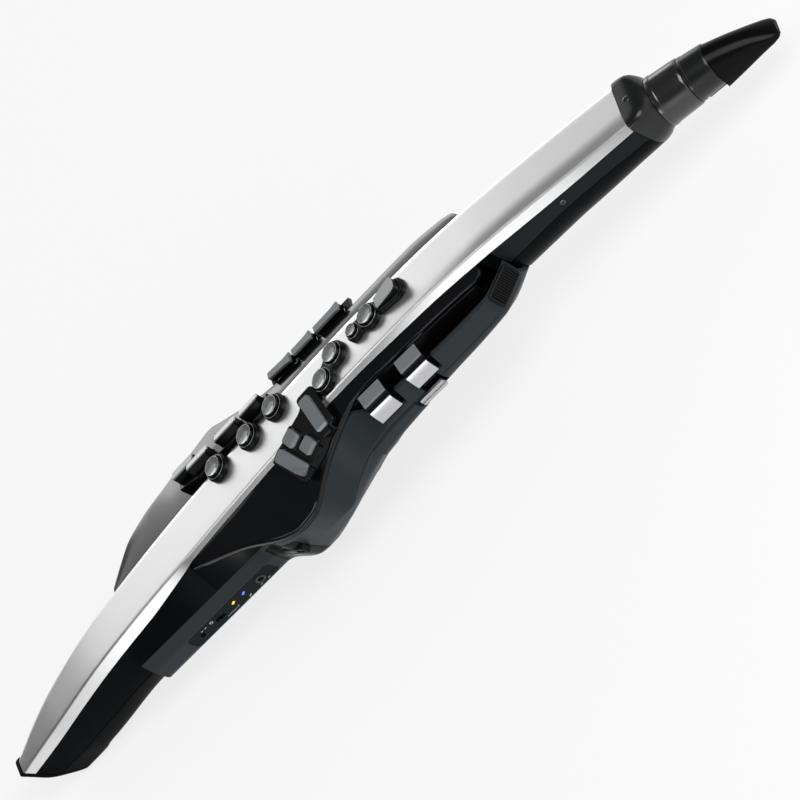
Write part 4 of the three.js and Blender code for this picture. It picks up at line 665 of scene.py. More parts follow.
@dataclass
class Lines:
    """Curves that all body pieces share; each gives a size at places along the body."""

    face: Run = run(58.8, [
        (0.009, 0.085), (0.042, 0.22), (0.078, 0.347), (0.148, 0.544), (0.227, 0.685), (0.301, 0.784),
        (0.376, 0.871), (0.433, 0.925), (0.491, 0.969), (0.546, 0.993), (0.612, 1), (0.675, 0.976),
        (0.712, 0.942), (0.758, 0.884), (0.794, 0.833), (0.858, 0.738)])
    half: Run = run(PANEL_HALF, [
        (0.009, 0.4), (0.042, 0.617), (0.078, 0.778), (0.148, 0.9), (0.227, 0.96), (0.3, 1), (0.79, 0.994),
        (0.858, 0.958)])
    flange_out: Run = run(4.0, [
        (0.009, 0.6), (0.078, 0.75), (0.21, 0.875), (0.287, 0.75), (0.493, 0.75), (0.597, 0.825),
        (0.746, 1), (0.858, 0.875)])
    flange_drop: Run = run(7.4, [
        (0.009, 0.68), (0.078, 0.946), (0.21, 1), (0.246, 0.81), (0.27, 0.595), (0.287, 0.378),
        (0.373, 0.365), (0.493, 0.405), (0.597, 0.676), (0.746, 1), (0.858, 0.784)])
    right_reach: Run = run(40.0, [
        (0.278, 0.07), (0.333, 0.505), (0.382, 0.955), (0.397, 1), (0.41, 0.99), (0.422, 0.925),
        (0.433, 0.775), (0.457, 0.525), (0.485, 0.33), (0.501, 0.242), (0.522, 0.2), (0.672, 0.188)])
    right_fall: Run = run(12.5, [
        (0.278, 0.096), (0.333, 0.36), (0.382, 0.864), (0.397, 1), (0.41, 0.984), (0.422, 0.896),
        (0.457, 0.56), (0.485, 0.328), (0.501, 0.232), (0.522, 0.192), (0.672, 0.16)])
    left_reach: Run = run(39.5, [
        (0.18, 0.08), (0.207, 0.45), (0.222, 0.62), (0.24, 0.71), (0.272, 0.835), (0.296, 0.91),
        (0.32, 0.935), (0.343, 0.96), (0.36, 0.86), (0.412, 0.53), (0.464, 0.34), (0.528, 0.32),
        (0.615, 0.34), (0.648, 0.3), (0.666, 0.23), (0.675, 0.06)])
    left_fall: Run = run(6.5, [
        (0.187, 0.154), (0.246, 0.385), (0.284, 0.846), (0.321, 1), (0.358, 0.969), (0.406, 0.769),
        (0.469, 0.369), (0.642, 0.308), (0.673, 0.154)])
    bottom: Run = run(BELLY, [
        (0.176, -0.451), (0.331, -0.451), (0.349, -0.779), (0.36, -1), (0.375, -1), (0.388, -0.922),
        (0.407, -0.697), (0.43, -0.533), (0.454, -0.369), (0.485, -0.123), (0.515, 0.041), (0.607, 0.184),
        (0.657, 0.3), (0.688, 0.55)])
    bottom_half: Run = run(20.0, [
        (0.176, 0.9), (0.331, 0.9), (0.367, 1), (0.433, 1), (0.515, 0.95), (0.657, 0.85), (0.688, 0.65)])
    palm_out: Run = run(40.0, [
        (0.485, 0.925), (0.515, 0.975), (0.607, 1), (0.657, 0.963), (0.675, 0.775), (0.688, 0.575)])
    palm_up: Run = run(45.0, [
        (0.485, 1), (0.515, 0.97), (0.607, 0.955), (0.657, 0.944), (0.688, 0.88)])
    side_out: Run = run(51.0, [
        (0.176, 0.598), (0.331, 0.598), (0.367, 0.98), (0.391, 1), (0.424, 0.99), (0.454, 0.951),
        (0.485, 0.922), (0.515, 0.912), (0.607, 0.902), (0.657, 0.853), (0.675, 0.686), (0.688, 0.49)])
    side_up: Run = run(33.0, [
        (0.176, 0.303), (0.331, 0.303), (0.367, 0.424), (0.424, 0.364), (0.454, 0.667), (0.485, 0.909),
        (0.515, 0.985), (0.607, 1), (0.657, 0.97), (0.688, 0.848)])
    lower_out: Run = run(45.0, [
        (0.176, 0.622), (0.331, 0.622), (0.367, 0.933), (0.391, 0.978), (0.43, 1), (0.515, 1),
        (0.607, 0.989), (0.657, 0.933), (0.675, 0.733), (0.688, 0.489)])
    lower_up: Run = run(26.5, [
        (0.176, -0.132), (0.331, -0.132), (0.367, -0.17), (0.391, -0.057), (0.41, 0.038), (0.43, 0.226),
        (0.454, 0.479), (0.49, 0.736), (0.515, 0.83), (0.607, 0.981), (0.657, 1), (0.688, 0.83)])
    wall: float = 2.2
    shell_wall: float = 2.6
    skirt: float = 3.0
    left_share: float = 0.92
    pod_rim: tuple[float, float] = (30.0, 21.0)
    roll: tuple[float, float] = (0.8, 5.0)
    right_tuck: float = 0.2
    left_tuck: float = 0.15
    pod_end: float = 0.331
    belly_start: float = 0.367
    palm_start: float = 0.485
    palm_full: float = 0.515
    probe: float = 5.025

    def silver_edge(self, x: Array) -> tuple[Array, Array]:
        """Foot of the front panel's right flange, as across and up."""
        return -self.half(x) - self.flange_out(x), self.face(x) - self.flange_drop(x)

    def left_edge(self, x: Array) -> tuple[Array, Array]:
        """Foot of the front panel's rolled left edge."""
        return self.half(x) + self.roll[0], self.face(x) - self.roll[1]

    def right_tip(self, x: Array) -> tuple[Array, Array]:
        """Outer edge of the right wing."""
        y, z = self.silver_edge(x)
        return y - self.right_reach(x) + self.right_tuck, z - GAP - self.right_fall(x)

    def left_tip(self, x: Array) -> tuple[Array, Array]:
        """Outer edge of the left wing."""
        y, z = self.left_edge(x)
        return y + self.left_reach(x) - self.left_tuck, z - GAP - self.left_fall(x)

    def rim(self, x: Array, tip: Line, side: int) -> tuple[Array, Array]:
        """Rim of the rear shell on one side: at the pod's own line, then under the wing's skirt."""
        out, up = side * self.pod_rim[0], self.pod_rim[1]
        y, z = tip(x)
        t = smooth(x, along(self.pod_end), along(self.belly_start))
        return out + (y - out) * t, up + (z - self.skirt - GAP - up) * t

    def right_rim(self, x: Array) -> tuple[Array, Array]:
        """Right rim of the rear shell; from the belly on it drops to the rim of the palm keys."""
        y, z = self.rim(x, self.right_tip, -1)
        t = smooth(x, along(self.palm_start), along(self.palm_full))
        return y + (-self.palm_out(x) - y) * t, z + (self.palm_up(x) - z) * t

    def left_rim(self, x: Array) -> tuple[Array, Array]:
        """Left rim of the rear shell."""
        return self.rim(x, self.left_tip, 1)

    def under_panel(self, x: Array) -> list[tuple[Array, Array]]:
        """The boundary that the front panel rests on, from right to left."""
        ry, rz = self.silver_edge(x)
        ly, lz = self.left_edge(x)
        reach = self.wall + 2 * GAP
        flat = self.half(x) - reach
        crown = self.face(x) - self.wall - GAP
        return [(ry, rz - GAP), (ry + reach, rz - GAP), (-flat, crown), (flat, crown), (ly - reach, lz - GAP),
                (ly, lz - GAP)]

    def surface(self, x: float, y: float) -> float:
        """Height of the outer surface over a point: the face, then the flange, then the wing."""
        edge, tip = (self.silver_edge, self.right_tip) if y < 0 else (self.left_edge, self.left_tip)
        (ey, ez), (ty, tz) = line_at(edge, x), line_at(tip, x)
        half, face, out = self.half.at(x), self.face.at(x), abs(y)
        if out <= half:
            return face
        if out <= abs(ey):
            return face + (ez - face) * (out - half) / (abs(ey) - half)
        return ez - GAP + (tz - ez + GAP) * (y - ey) / (ty - ey)

    def slope(self, x: float) -> float:
        """Angle at which the face climbs, over a short span about a place."""
        low, high = self.face(np.array([x - self.probe, x + self.probe]))
        return math.atan2(high - low, 2 * self.probe)

    def seat(self, share: float, across: float, lift: float = GAP) -> Seat:
        """Frame on the face with its Z square to the slope.

        Args:
            share: place along the body.
            across: place across in millimetres.
            lift: height above the face.

        Returns:
            The frame.
        """
        x = along(share)
        return tilted(x, across, self.face.at(x) + lift, self.slope(x), 0.0)


LINES = Lines()


@dataclass
class FrontCover:
    """Silver front panel with its flange and ridge."""

    start: float = PANEL_START
    end: float = 0.858
    shoulder: float = 2.4
    reach: float = 6.0
    crown: Run = run(1.3, [
        (0.009, 0.1), (0.2, 0.14), (0.5, 0.14), (0.62, 0.3), (0.7, 0.8), (0.76, 1), (0.858, 1)])
    slant: float = 0.95
    slant_end: float = 0.09

    def slanted(self, x: Array, outline: Array) -> Array:
        """Rings at the slant of the bell's cut, which fades out along the tube.

        Points move towards the mouthpiece in proportion to their depth below the face.
        """
        lean = self.slant * (1 - smooth(x, along(self.start), along(self.slant_end)))
        rings = rings_at(x, outline)
        rings[..., 0] += lean[:, None] * (LINES.face(x)[:, None] - outline[..., 1])
        return rings

    def build(self) -> None:
        """Panel section: flange, ridge, gently crowned top, rolled left edge, then the inside back."""
        x = between(self.start, self.end)
        (ry, rz), (ly, lz) = LINES.silver_edge(x), LINES.left_edge(x)
        half, face, w = LINES.half(x), LINES.face(x), LINES.wall
        outline = section(
            (ry, rz), (-half, face - self.crown(x)), (-half + self.reach, face), (half - self.shoulder, face),
            (half, face - self.shoulder), (ly, lz), (ly - w, lz), (half - w, face - w), (-half + w, face - w),
            (ry + w, rz))
        outline = rounded(outline, (0.25, 1.2, 5, 3.2, 1.6, 0.25, 0, 0, 0, 0), 7)
        piece("front_cover", tube(self.slanted(x, outline)), SILVER, stands_for=["front_panel"],
              edge=Edge.FINE)


@dataclass
class Bell:
    """Lower tube of the body with its slanted end."""

    cover: FrontCover
    end: float = REAR_START
    cap_depth: float = 4.45
    mid: Run = run(23.5, [
        (0.009, 0.56), (0.045, 0.68), (0.09, 0.77), (0.15, 0.89), (0.176, 1)])
    mid_up: Run = run(8.0, [
        (0.009, -1), (0.045, -0.75), (0.09, -0.25), (0.15, 0.5), (0.176, 0.87)])
    foot: Run = run(16.0, [
        (0.009, 0.7), (0.045, 0.76), (0.09, 0.82), (0.15, 0.92), (0.176, 1)])
    low: Run = run(24.36, [
        (0.009, -1.012), (0.045, -0.943), (0.09, -0.836), (0.15, -0.545), (0.176, -0.451)])
    waist: tuple[float, float] = (0.42, 0.62)
    line_start: float = 0.012
    line_half: float = 0.25
    line_deep: float = 1.6
    def flank(self, x: Array, out: float, down: float) -> tuple[Array, Array]:
        """Point of the left flank, at shares of the way from its widest line to the foot."""
        mid, up = self.mid(x), self.mid_up(x)
        return mid + (self.foot(x) - mid) * out, up + (self.low(x) - up) * down

    def outline(self, x: Array, upper: Sequence[tuple[Array, Array]], radii: Sequence[float]) -> Array:
        """Outline of the tube: the given upper side, then rounded flanks and a flat foot."""
        left = [self.flank(x, 0, 0), self.flank(x, *self.waist), (self.foot(x), self.low(x))]
        right = [(-y, z) for y, z in reversed(left)]
        return rounded(section(*upper, *left, *right), (*radii, 12, 9, 5, 5, 9, 12), 7)

    def build(self) -> None:
        """Make the tube and the cap that closes its slanted end."""
        x = stations(along(PANEL_START), along(self.end) - SNUG, 2.5)
        ring = self.outline(x, LINES.under_panel(x), (0.3, 0, 0, 0, 0, 0.3))
        piece("bell_body", tube(self.cover.slanted(x, ring)), DEEP, stands_for=["bell_tube"], edge=Edge.FINE,
              tools=[self.side_line()])
        x = np.array([along(PANEL_START)])
        half, face = LINES.half(x), LINES.face(x)
        upper = [LINES.silver_edge(x), (-half, face), (half, face), LINES.left_edge(x)]
        ring = self.cover.slanted(x, self.outline(x, upper, (2, 1, 3, 2)))[0]
        rows = [ring + (ring.mean(axis=0) - ring) * shrink - [back, 0, 0] for back, shrink in (
            (self.cap_depth, 0.13), (self.cap_depth * 0.86, 0.055), (self.cap_depth * 0.6, 0.015),
            (self.cap_depth * 0.45, 0.0), (2 * GAP, 0.0))]
        piece("bell_cap", tube(np.array(rows)), DEEP, stands_for=["bell_end_cap"])

    def side_line(self) -> Surface:
        """Thin groove along the right flank, at the height where the flank is widest."""
        x = stations(along(self.line_start), along(self.end) + 4, 2.5)
        out, high = self.flank(x, 0.1, 0.12)
        outer, inner = -out - 4, -out + self.line_deep
        bottom, top = high - self.line_half, high + self.line_half
        raw = section((outer, bottom), (inner, bottom), (inner, top), (outer, top))
        return tube(self.cover.slanted(x, raw))


@dataclass
class Wings:
    """Glossy side panels: two wings under the front cover and the lower panels beside the pod."""

    right: tuple[float, float] = (0.279, 0.672)
    left: tuple[float, float] = (0.188, 0.672)
    lower_end: float = 0.3655
    notch: float = 1.0
    round_end: float = 11.0
    end_width: float = 0.25
    bulge: float = 0.7

    def wing(self, name: str, node: str, side: int, span: tuple[float, float], edge: Line, tip: Line) -> None:
        """Panel from the cover's edge out to its tip, with a skirt turned down.

        The right wing narrows at its end as a quarter circle does; the left one is crowned by a parabola.

        Args:
            name: piece name.
            node: CAD node.
            side: -1 for right, 1 for left.
            span: start and end shares.
            edge: inner line.
            tip: outer line.
        """
        end = along(span[1])
        x = np.unique(np.concatenate([stations(along(span[0]), end - self.round_end),
                                      stations(end - self.round_end, end - 0.15, 0.6)]))
        (ey, ez), (ty, tz) = edge(x), tip(x)
        if side < 0:
            circle_share = np.sqrt(1 - np.clip((x - end + self.round_end) / self.round_end, 0, 1) ** 2)
            share = self.end_width + (1 - self.end_width) * circle_share
            ty, tz = ey + (ty - ey) * share, ez + (tz - ez) * share
        w, top = LINES.wall, ez - GAP
        seat = ey - side * w
        crown = [(ey + (ty - ey) * s, top + (tz - top) * s + 4 * self.bulge * s * (1 - s) * (side > 0))
                 for s in (0.12, 0.25, 0.4, 0.55, 0.7, 0.85)]
        raw = section((seat, top), (ey, top), *crown, (ty, tz), (ty, tz - LINES.skirt),
                      (ty - side * w, tz - LINES.skirt), (ty - side * w, tz - w), (seat, top - w))
        radii = (0, 0, 0, 0, 0, 0, 0, 0, 2.0, 0.4, 0, 0, 0)
        # Painted light: the left wing takes the lighter, more reflective copy of the piano black.
        piece(name, tube(rings_at(x, rounded(raw, radii, 7))), GLOSS if side < 0 else GLOSS_LIT_COPY,
              stands_for=[node], edge=Edge.FINE)

    def lower(self, name: str, node: str, side: int, start: float, edge: Line, tip: Line, rim: Line) -> None:
        """Thin wall down to the pod's rim, from the panel and then from the wing's skirt.

        Args:
            name: piece name.
            node: CAD node.
            side: -1 for right, 1 for left.
            start: share at which the wing above begins.
            edge: inner line of the wing.
            tip: outer line of the wing.
            rim: rim of the rear shell.
        """
        end = along(start) - 2 * GAP
        x = stations(along(REAR_START) + SNUG, along(self.lower_end))
        x = np.unique(np.concatenate([x, end - self.notch * np.array([1, 0.66, 0.33, 0])]))
        t = smooth(x, end - self.notch, end)
        (ey, ez), (ty, tz), (ry, rz) = edge(x), tip(x), rim(x)
        top = (ey + (ty - ey) * t, ez - GAP + (tz - LINES.skirt - ez) * t)
        w = side * LINES.wall
        raw = section(top, (ry, rz + SNUG), (ry - w, rz + SNUG), (top[0] - w, top[1]))
        piece(name, tube(rings_at(x, raw)), DEEP, stands_for=[node], edge=Edge.FINE)

    def build(self) -> None:
        """Make the four panels."""
        right, left = (LINES.silver_edge, LINES.right_tip), (LINES.left_edge, LINES.left_tip)
        self.wing("right_wing", "right_wing_panel", -1, self.right, *right)
        self.wing("left_wing", "left_wing_panel", 1, self.left, *left)
        self.lower("lower_right_side", "lower_right_panel", -1, self.right[0], *right, LINES.right_rim)
        self.lower("lower_left_side", "lower_left_panel", 1, self.left[0], *left, LINES.left_rim)


def box(low: Sequence[float], high: Sequence[float]) -> Surface:
    """Plain block between two corners."""
    outline = np.array([[low[0], low[1]], [high[0], low[1]], [high[0], high[1]], [low[0], high[1]]])
    return tube(np.array([np.column_stack([outline, np.full(4, z)]) for z in (low[2], high[2])]))


def unit(vector: Array) -> Array:
    """The vector scaled to a length of one."""
    return vector / np.linalg.norm(vector)


@dataclass
class RearShell:
    """Dark rear housing: pod, belly and back, with the notches of the palm keys and the battery bay."""

    start: float = REAR_START
    end: float = NECK_START
    palm_at: tuple[float, float] = (0.525, 0.572)
    palm_half: float = 9.0
    notch_clear: float = 1.8
    notch_low: float = 35.4
    notch_in: float = -31.0
    outside: float = -60.0
    bar_at: float = 0.5625
    bar_half: float = 11.8
    bar_low: float = 24.5
    bar_high: float = 30.7
    door_at: float = 0.256
    flare_at: tuple[float, float] = (-112.5, -84.0)
    flare_points: tuple[int, int] = (7, 24)
    plate_from: float = -10.5
    plate_points: tuple[int, int] = (11, 22)
    socket_at: tuple[float, float, float] = (-92.0, -47.2, 42.2)
    socket_face: tuple[float, float, float] = (-0.62, -0.784, -0.063)
    socket_up: tuple[float, float, float] = (0.0, -0.08, 1.0)
    seam_at: tuple[float, float] = (0.392, 0.655)
    seam_half: float = 0.22
    seam_deep: float = 0.85
    well_at: tuple[float, float] = (0.5, 0.659)
    well_thick: float = 1.6
    bay: tuple[float, float] = (74.0, 23.0)

    def outline(self, x: Array) -> Array:
        """Shell section: moulded flanks with wide rounds outside, an even wall inside."""
        L, w, k = LINES, LINES.shell_wall, LINES.left_share
        (ry, rz), (ly, lz) = L.right_rim(x), L.left_rim(x)
        so, su, lo, lu = L.side_out(x), L.side_up(x), L.lower_out(x), L.lower_up(x)
        bh, low = L.bottom_half(x), L.bottom(x)
        raw = section(
            (ry, rz), (-so, su), (-lo, lu), (-bh, low), (bh, low), (k * lo, lu), (k * so, su), (ly, lz),
            (ly - w, lz), (k * so - w, su), (k * lo - w, lu + w / 2), (bh - w / 2, low + w),
            (-bh + w / 2, low + w), (-lo + w, lu + w / 2), (-so + w, su), (ry + w, rz))
        return rounded(raw, (0.9, 1.6, 3.5, 10, 10, 5, 5, 0.9, 0, 0, 0, 0, 0, 0, 0, 0), 7)

    def notches(self) -> list[Surface]:
        """Cutting blocks of the palm keys' notches."""
        tools, bar = [], along(self.bar_at)
        for share in self.palm_at:
            tools.append(box((along(share) - self.palm_half - GAP, self.outside, self.notch_low),
                             (along(share) + self.palm_half + self.notch_clear, self.notch_in, 60)))
        tools.append(box((bar - self.bar_half, self.outside, self.bar_low),
                         (bar + self.bar_half, self.notch_in, self.bar_high)))
        tools.append(box((along(self.palm_at[1]) - self.palm_half - GAP, self.outside, self.bar_high - 0.5),
                         (bar + self.bar_half, self.notch_in, 45)))
        return tools

    def overlay(self, name: str, x: Array, line: Array, over: Sequence[float], under: Sequence[float],
                finish: Finish) -> None:
        """Thin skin over part of the flank.

        Args:
            name: piece name.
            x: places along the body.
            line: points of the flank's outline that it covers.
            over: shift across and up to its outer side.
            under: shift to its inner side.
            finish: its finish.
        """
        raw = np.concatenate([line + np.array(over), (line + np.array(under))[:, ::-1]], axis=1)
        piece(name, tube(rings_at(x, raw)), finish)

    def flare(self) -> None:
        """Painted shade: a thin black sheet on the flank where the pod widens into the belly, standing in for
        the shade on that face.
        """
        x = stations(self.flare_at[0] - SHIFT[0], self.flare_at[1] - SHIFT[0], 1.5)
        ring = self.outline(x)
        first, last = self.flare_points
        top = ring[:, first - 1] + (ring[:, first] - ring[:, first - 1]) * 0.3
        line = np.concatenate([top[:, None], ring[:, first:last]], axis=1)
        # Painted shade: a black sheet where this face of the flare lies in shade.
        self.overlay("flare_skin", x, line, (-0.25, -0.12), (1.1, 0.5), DEEP)

    def service_socket(self) -> None:
        """Small socket in the black sheet of painted shade: frame, tongue and three marks."""
        face = np.array(self.socket_face)
        long, face = unit(np.cross(self.socket_up, face)), unit(face)
        axes = (tuple(long), tuple(np.cross(face, long)), tuple(face))
        seat = Seat(tuple(np.array(self.socket_at) - SHIFT), axes)
        port = seat.moved(3.6)
        hole = block(port, soft_rectangle(5.6, 3.2, 0.5, 5), [(0, -0.9), (0, 3)])
        frame_block = block(seat, soft_rectangle(16.0, 7.4, 1.2, 6), [(0, -2.5), (0, 0.55), (0.3, 0.8)])
        piece("socket_frame", frame_block, POD, tools=[hole])
        piece("socket_tongue", block(port, soft_rectangle(4.2, 1.0, 0.3, 4), [(0, -1.2), (0, 0.2)]), STEEL)
        for part, shift, wide in (("low", -1.6, 0.5), ("high", 1.6, 0.5), ("mid", 0.0, 1.2)):
            strip = soft_rectangle(5.4, wide, 0.2, 4)
            piece(f"socket_mark_{part}", block(seat.moved(-3.2, shift), strip, [(0, 0.5), (0, 0.84)]), STEEL)

    def flank_plate(self) -> None:
        """Raised plate on the lower right flank, from the belly to the bright bar."""
        x = stations(self.plate_from - SHIFT[0], along(self.bar_at) - self.bar_half - 2 * GAP, 1.5)
        first, last = self.plate_points
        self.overlay("flank_plate", x, self.outline(x)[:, first:last], (-1.5, -0.5), (1.1, 0.4), SHELL)

    def seam(self) -> Surface:
        """Thin groove along the right side's crease; it grows out of the surface at its lower end."""
        x = between(*self.seam_at)
        deep = self.seam_deep * smooth(x, along(self.seam_at[0]), along(0.43)) - 0.12
        y, z = -LINES.side_out(x), LINES.side_up(x) - 0.9
        low, high = z - self.seam_half, z + self.seam_half
        return tube(rings_at(x, section((y - 3, low), (y + deep, low), (y + deep, high), (y - 3, high))))

    def palm_well(self) -> None:
        """Dark floor and wall behind the palm keys."""
        x = between(*self.well_at)
        wy, wz = LINES.right_tip(x)
        wz = wz - LINES.skirt - GAP
        floor, w = LINES.side_up(x), self.well_thick
        far = -(LINES.side_out(x) - LINES.shell_wall - 4 * GAP)
        raw = section((wy, wz), (wy, floor), (far, floor), (far, floor - w), (wy + w, floor - w),
                      (wy + w, wz))
        piece("palm_well", tube(rings_at(x, raw)), BASE, stands_for=["palm_key_well"], edge=Edge.SOFT)

    def build(self) -> None:
        """Make the shell, its skins, among them a black sheet of painted shade on the flare, and the dark
        well behind the palm keys.
        """
        x = between(self.start, self.end)
        door = along(self.door_at)
        low = LINES.bottom.at(door)
        bay = box((door - self.bay[0] / 2, -self.bay[1] / 2, low - 5),
                  (door + self.bay[0] / 2, self.bay[1] / 2, low + 8))
        piece("rear_housing", tube(rings_at(x, self.outline(x))), SHELL, stands_for=["rear_shell"],
              tools=[*self.notches(), JACKS.pocket(), *JACKS.holes(), bay, self.seam()])
        self.flare()
        self.service_socket()
        self.flank_plate()
        self.palm_well()


@dataclass
class Neck:
    """Neck between shell and mouthpiece: satin frame, glossy half-round tube, collar and its screws."""

    half: float = 19.0
    wall: float = 3.0
    start: float = NECK_START
    end: float = 0.858
    collar_end: float = MOUTH_START
    tuck: float = 9.0
    screw_at: float = 0.765
    part: Run = run(32.0, [
        (0.688, 0.995), (0.75, 0.985), (0.775, 0.955), (0.846, 0.78), (0.858, 0.745)])
    depth: Run = run(25.0, [
        (0.688, 0.96), (0.775, 1), (0.835, 0.88), (0.858, 0.82)])

    def rail(self, name: str, x: Array, inner: Sequence[tuple[float, Array]], radii: Sequence[float],
             finish: Finish, **more: object) -> None:
        """Upper half of the neck, under the front panel.

        Args:
            name: piece name.
            x: places along the body.
            inner: left side's points from the foot's outer corner inwards; the right side mirrors them.
            radii: rounds of the corners, or none.
            finish: its finish.
            more: what else its piece is given.
        """
        raw = section(*LINES.under_panel(x), *inner, *((-y, z) for y, z in reversed(inner)))
        piece(name, tube(rings_at(x, rounded(raw, radii, 4) if radii else raw)), finish, **more)

    def half_ring(self, x: Array, thin: float) -> Array:
        """Lower half ellipse at places along the neck, smaller by a thickness."""
        angle = np.linspace(math.pi, 2 * math.pi, 41)
        top, depth = self.part(x) - GAP, self.depth(x) - thin
        return np.stack([np.broadcast_to((self.half - thin) * np.cos(angle), (len(x), 41)),
                         top[:, None] + depth[:, None] * np.sin(angle)], -1)

    def build(self) -> None:
        """Make the rail, its hidden root, the half-round tube and the collar."""
        x = stations(along(self.start), along(self.end), 2.5)
        part, roof = self.part(x), LINES.face(x) - LINES.wall - GAP - self.wall
        inner, lap = self.half - 1.5 * self.wall, self.half - 1.1 * self.wall
        left = [(self.half, part), (lap, part), (lap, part - 2), (inner, part - 2), (inner, roof)]
        self.rail("neck_rail", x, left, (0.6, 0, 0, 0, 0, 0.6, 0.4, 0, 0, 0, 0, 0, 0, 0, 0, 0.4), POD,
                  stands_for=["neck_frame"], edge=Edge.FINE)
        x = stations(along(self.start) - self.tuck, along(self.start))
        part, roof, inner = self.part(x), LINES.face(x) - LINES.wall - GAP - self.wall, self.half - self.wall
        self.rail("neck_root", x, [(self.half, part), (inner, part), (inner, roof)], (), DEEP)
        x = stations(along(self.start) + SNUG, along(self.end), 2.5)
        ring = np.concatenate([self.half_ring(x, 0), self.half_ring(x, self.wall)[:, ::-1]], axis=1)
        piece("neck_half_tube", tube(rings_at(x, ring)), DEEP, stands_for=["neck_tube"], edge=Edge.FINE)
        self.collar()

    def collar(self) -> None:
        """Collar and its screws: squarish above and elliptical below at the neck, round at the barrel."""
        low = self.part.at(along(self.end)) - self.depth.at(along(self.end))
        high = LINES.face.at(along(self.end))
        start, end = along(self.end) + GAP, along(self.collar_end)
        radius, wide = MOUTH.radius * 0.985, self.half + 0.4
        rows = []
        shape = ((0, 0.02, 9), (0.03, 0, 9), (0.2, 0.03, 9), (0.38, 0.1, 8), (0.54, 0.22, 7),
                 (0.68, 0.42, 5.5), (0.8, 0.66, 4), (0.9, 0.86, 3), (0.97, 0.985, 2.2), (1, 1, 2))
        for share, blend, power in shape:
            x = start + (end - start) * share
            bottom = low + (MOUTH.axis(x) - radius - low) * blend
            top = high + (MOUTH.axis(x) + radius - high) * blend
            rows.append(MOUTH.ring(x, wide + (radius - wide) * blend, bottom, top, power))
        piece("collar", tube(np.array(rows)), SATIN, stands_for=["neck_collar"], edge=Edge.FINE)
        x = start + (end - start) * 0.44
        up = high + (MOUTH.axis(x) + radius - high) * 0.14
        falling = ((0.99, 0.0, -0.14), (0.0, 1.0, 0.0), (0.14, 0.0, 0.99))
        screw("collar_screw", Seat((x, -1.0, up - 0.25), falling), 3.0)
        y, z = line_at(LINES.silver_edge, along(self.screw_at))
        screw("neck_screw", Seat((along(self.screw_at), y + 0.15, z - 6.0), RIGHT_SIDE), 2.0)


def screw(name: str, seat: Seat, radius: float) -> None:
    """Round-headed cross screw set in its hole; the seat's Z points out.

    Args:
        name: piece name.
        seat: frame at the surface.
        radius: head radius.
    """
    t = np.linspace(0, math.pi / 2, 7)
    dome = np.column_stack([radius * np.cos(t), 0.45 * radius * np.sin(t) - 0.3])
    profile = np.vstack([[0, -1.6], [radius, -1.6], dome[:-1], [0, dome[-1, 1]]])
    arm, half = 0.62 * radius, 0.13 * radius
    slots = [block(seat, np.array([[-a, -b], [a, -b], [a, b], [-a, b]]), [(0, -0.1), (0, radius)])
             for a, b in ((arm, half), (half, arm))]
    piece(name, turned(profile, seat, 32), STEEL, tools=slots)


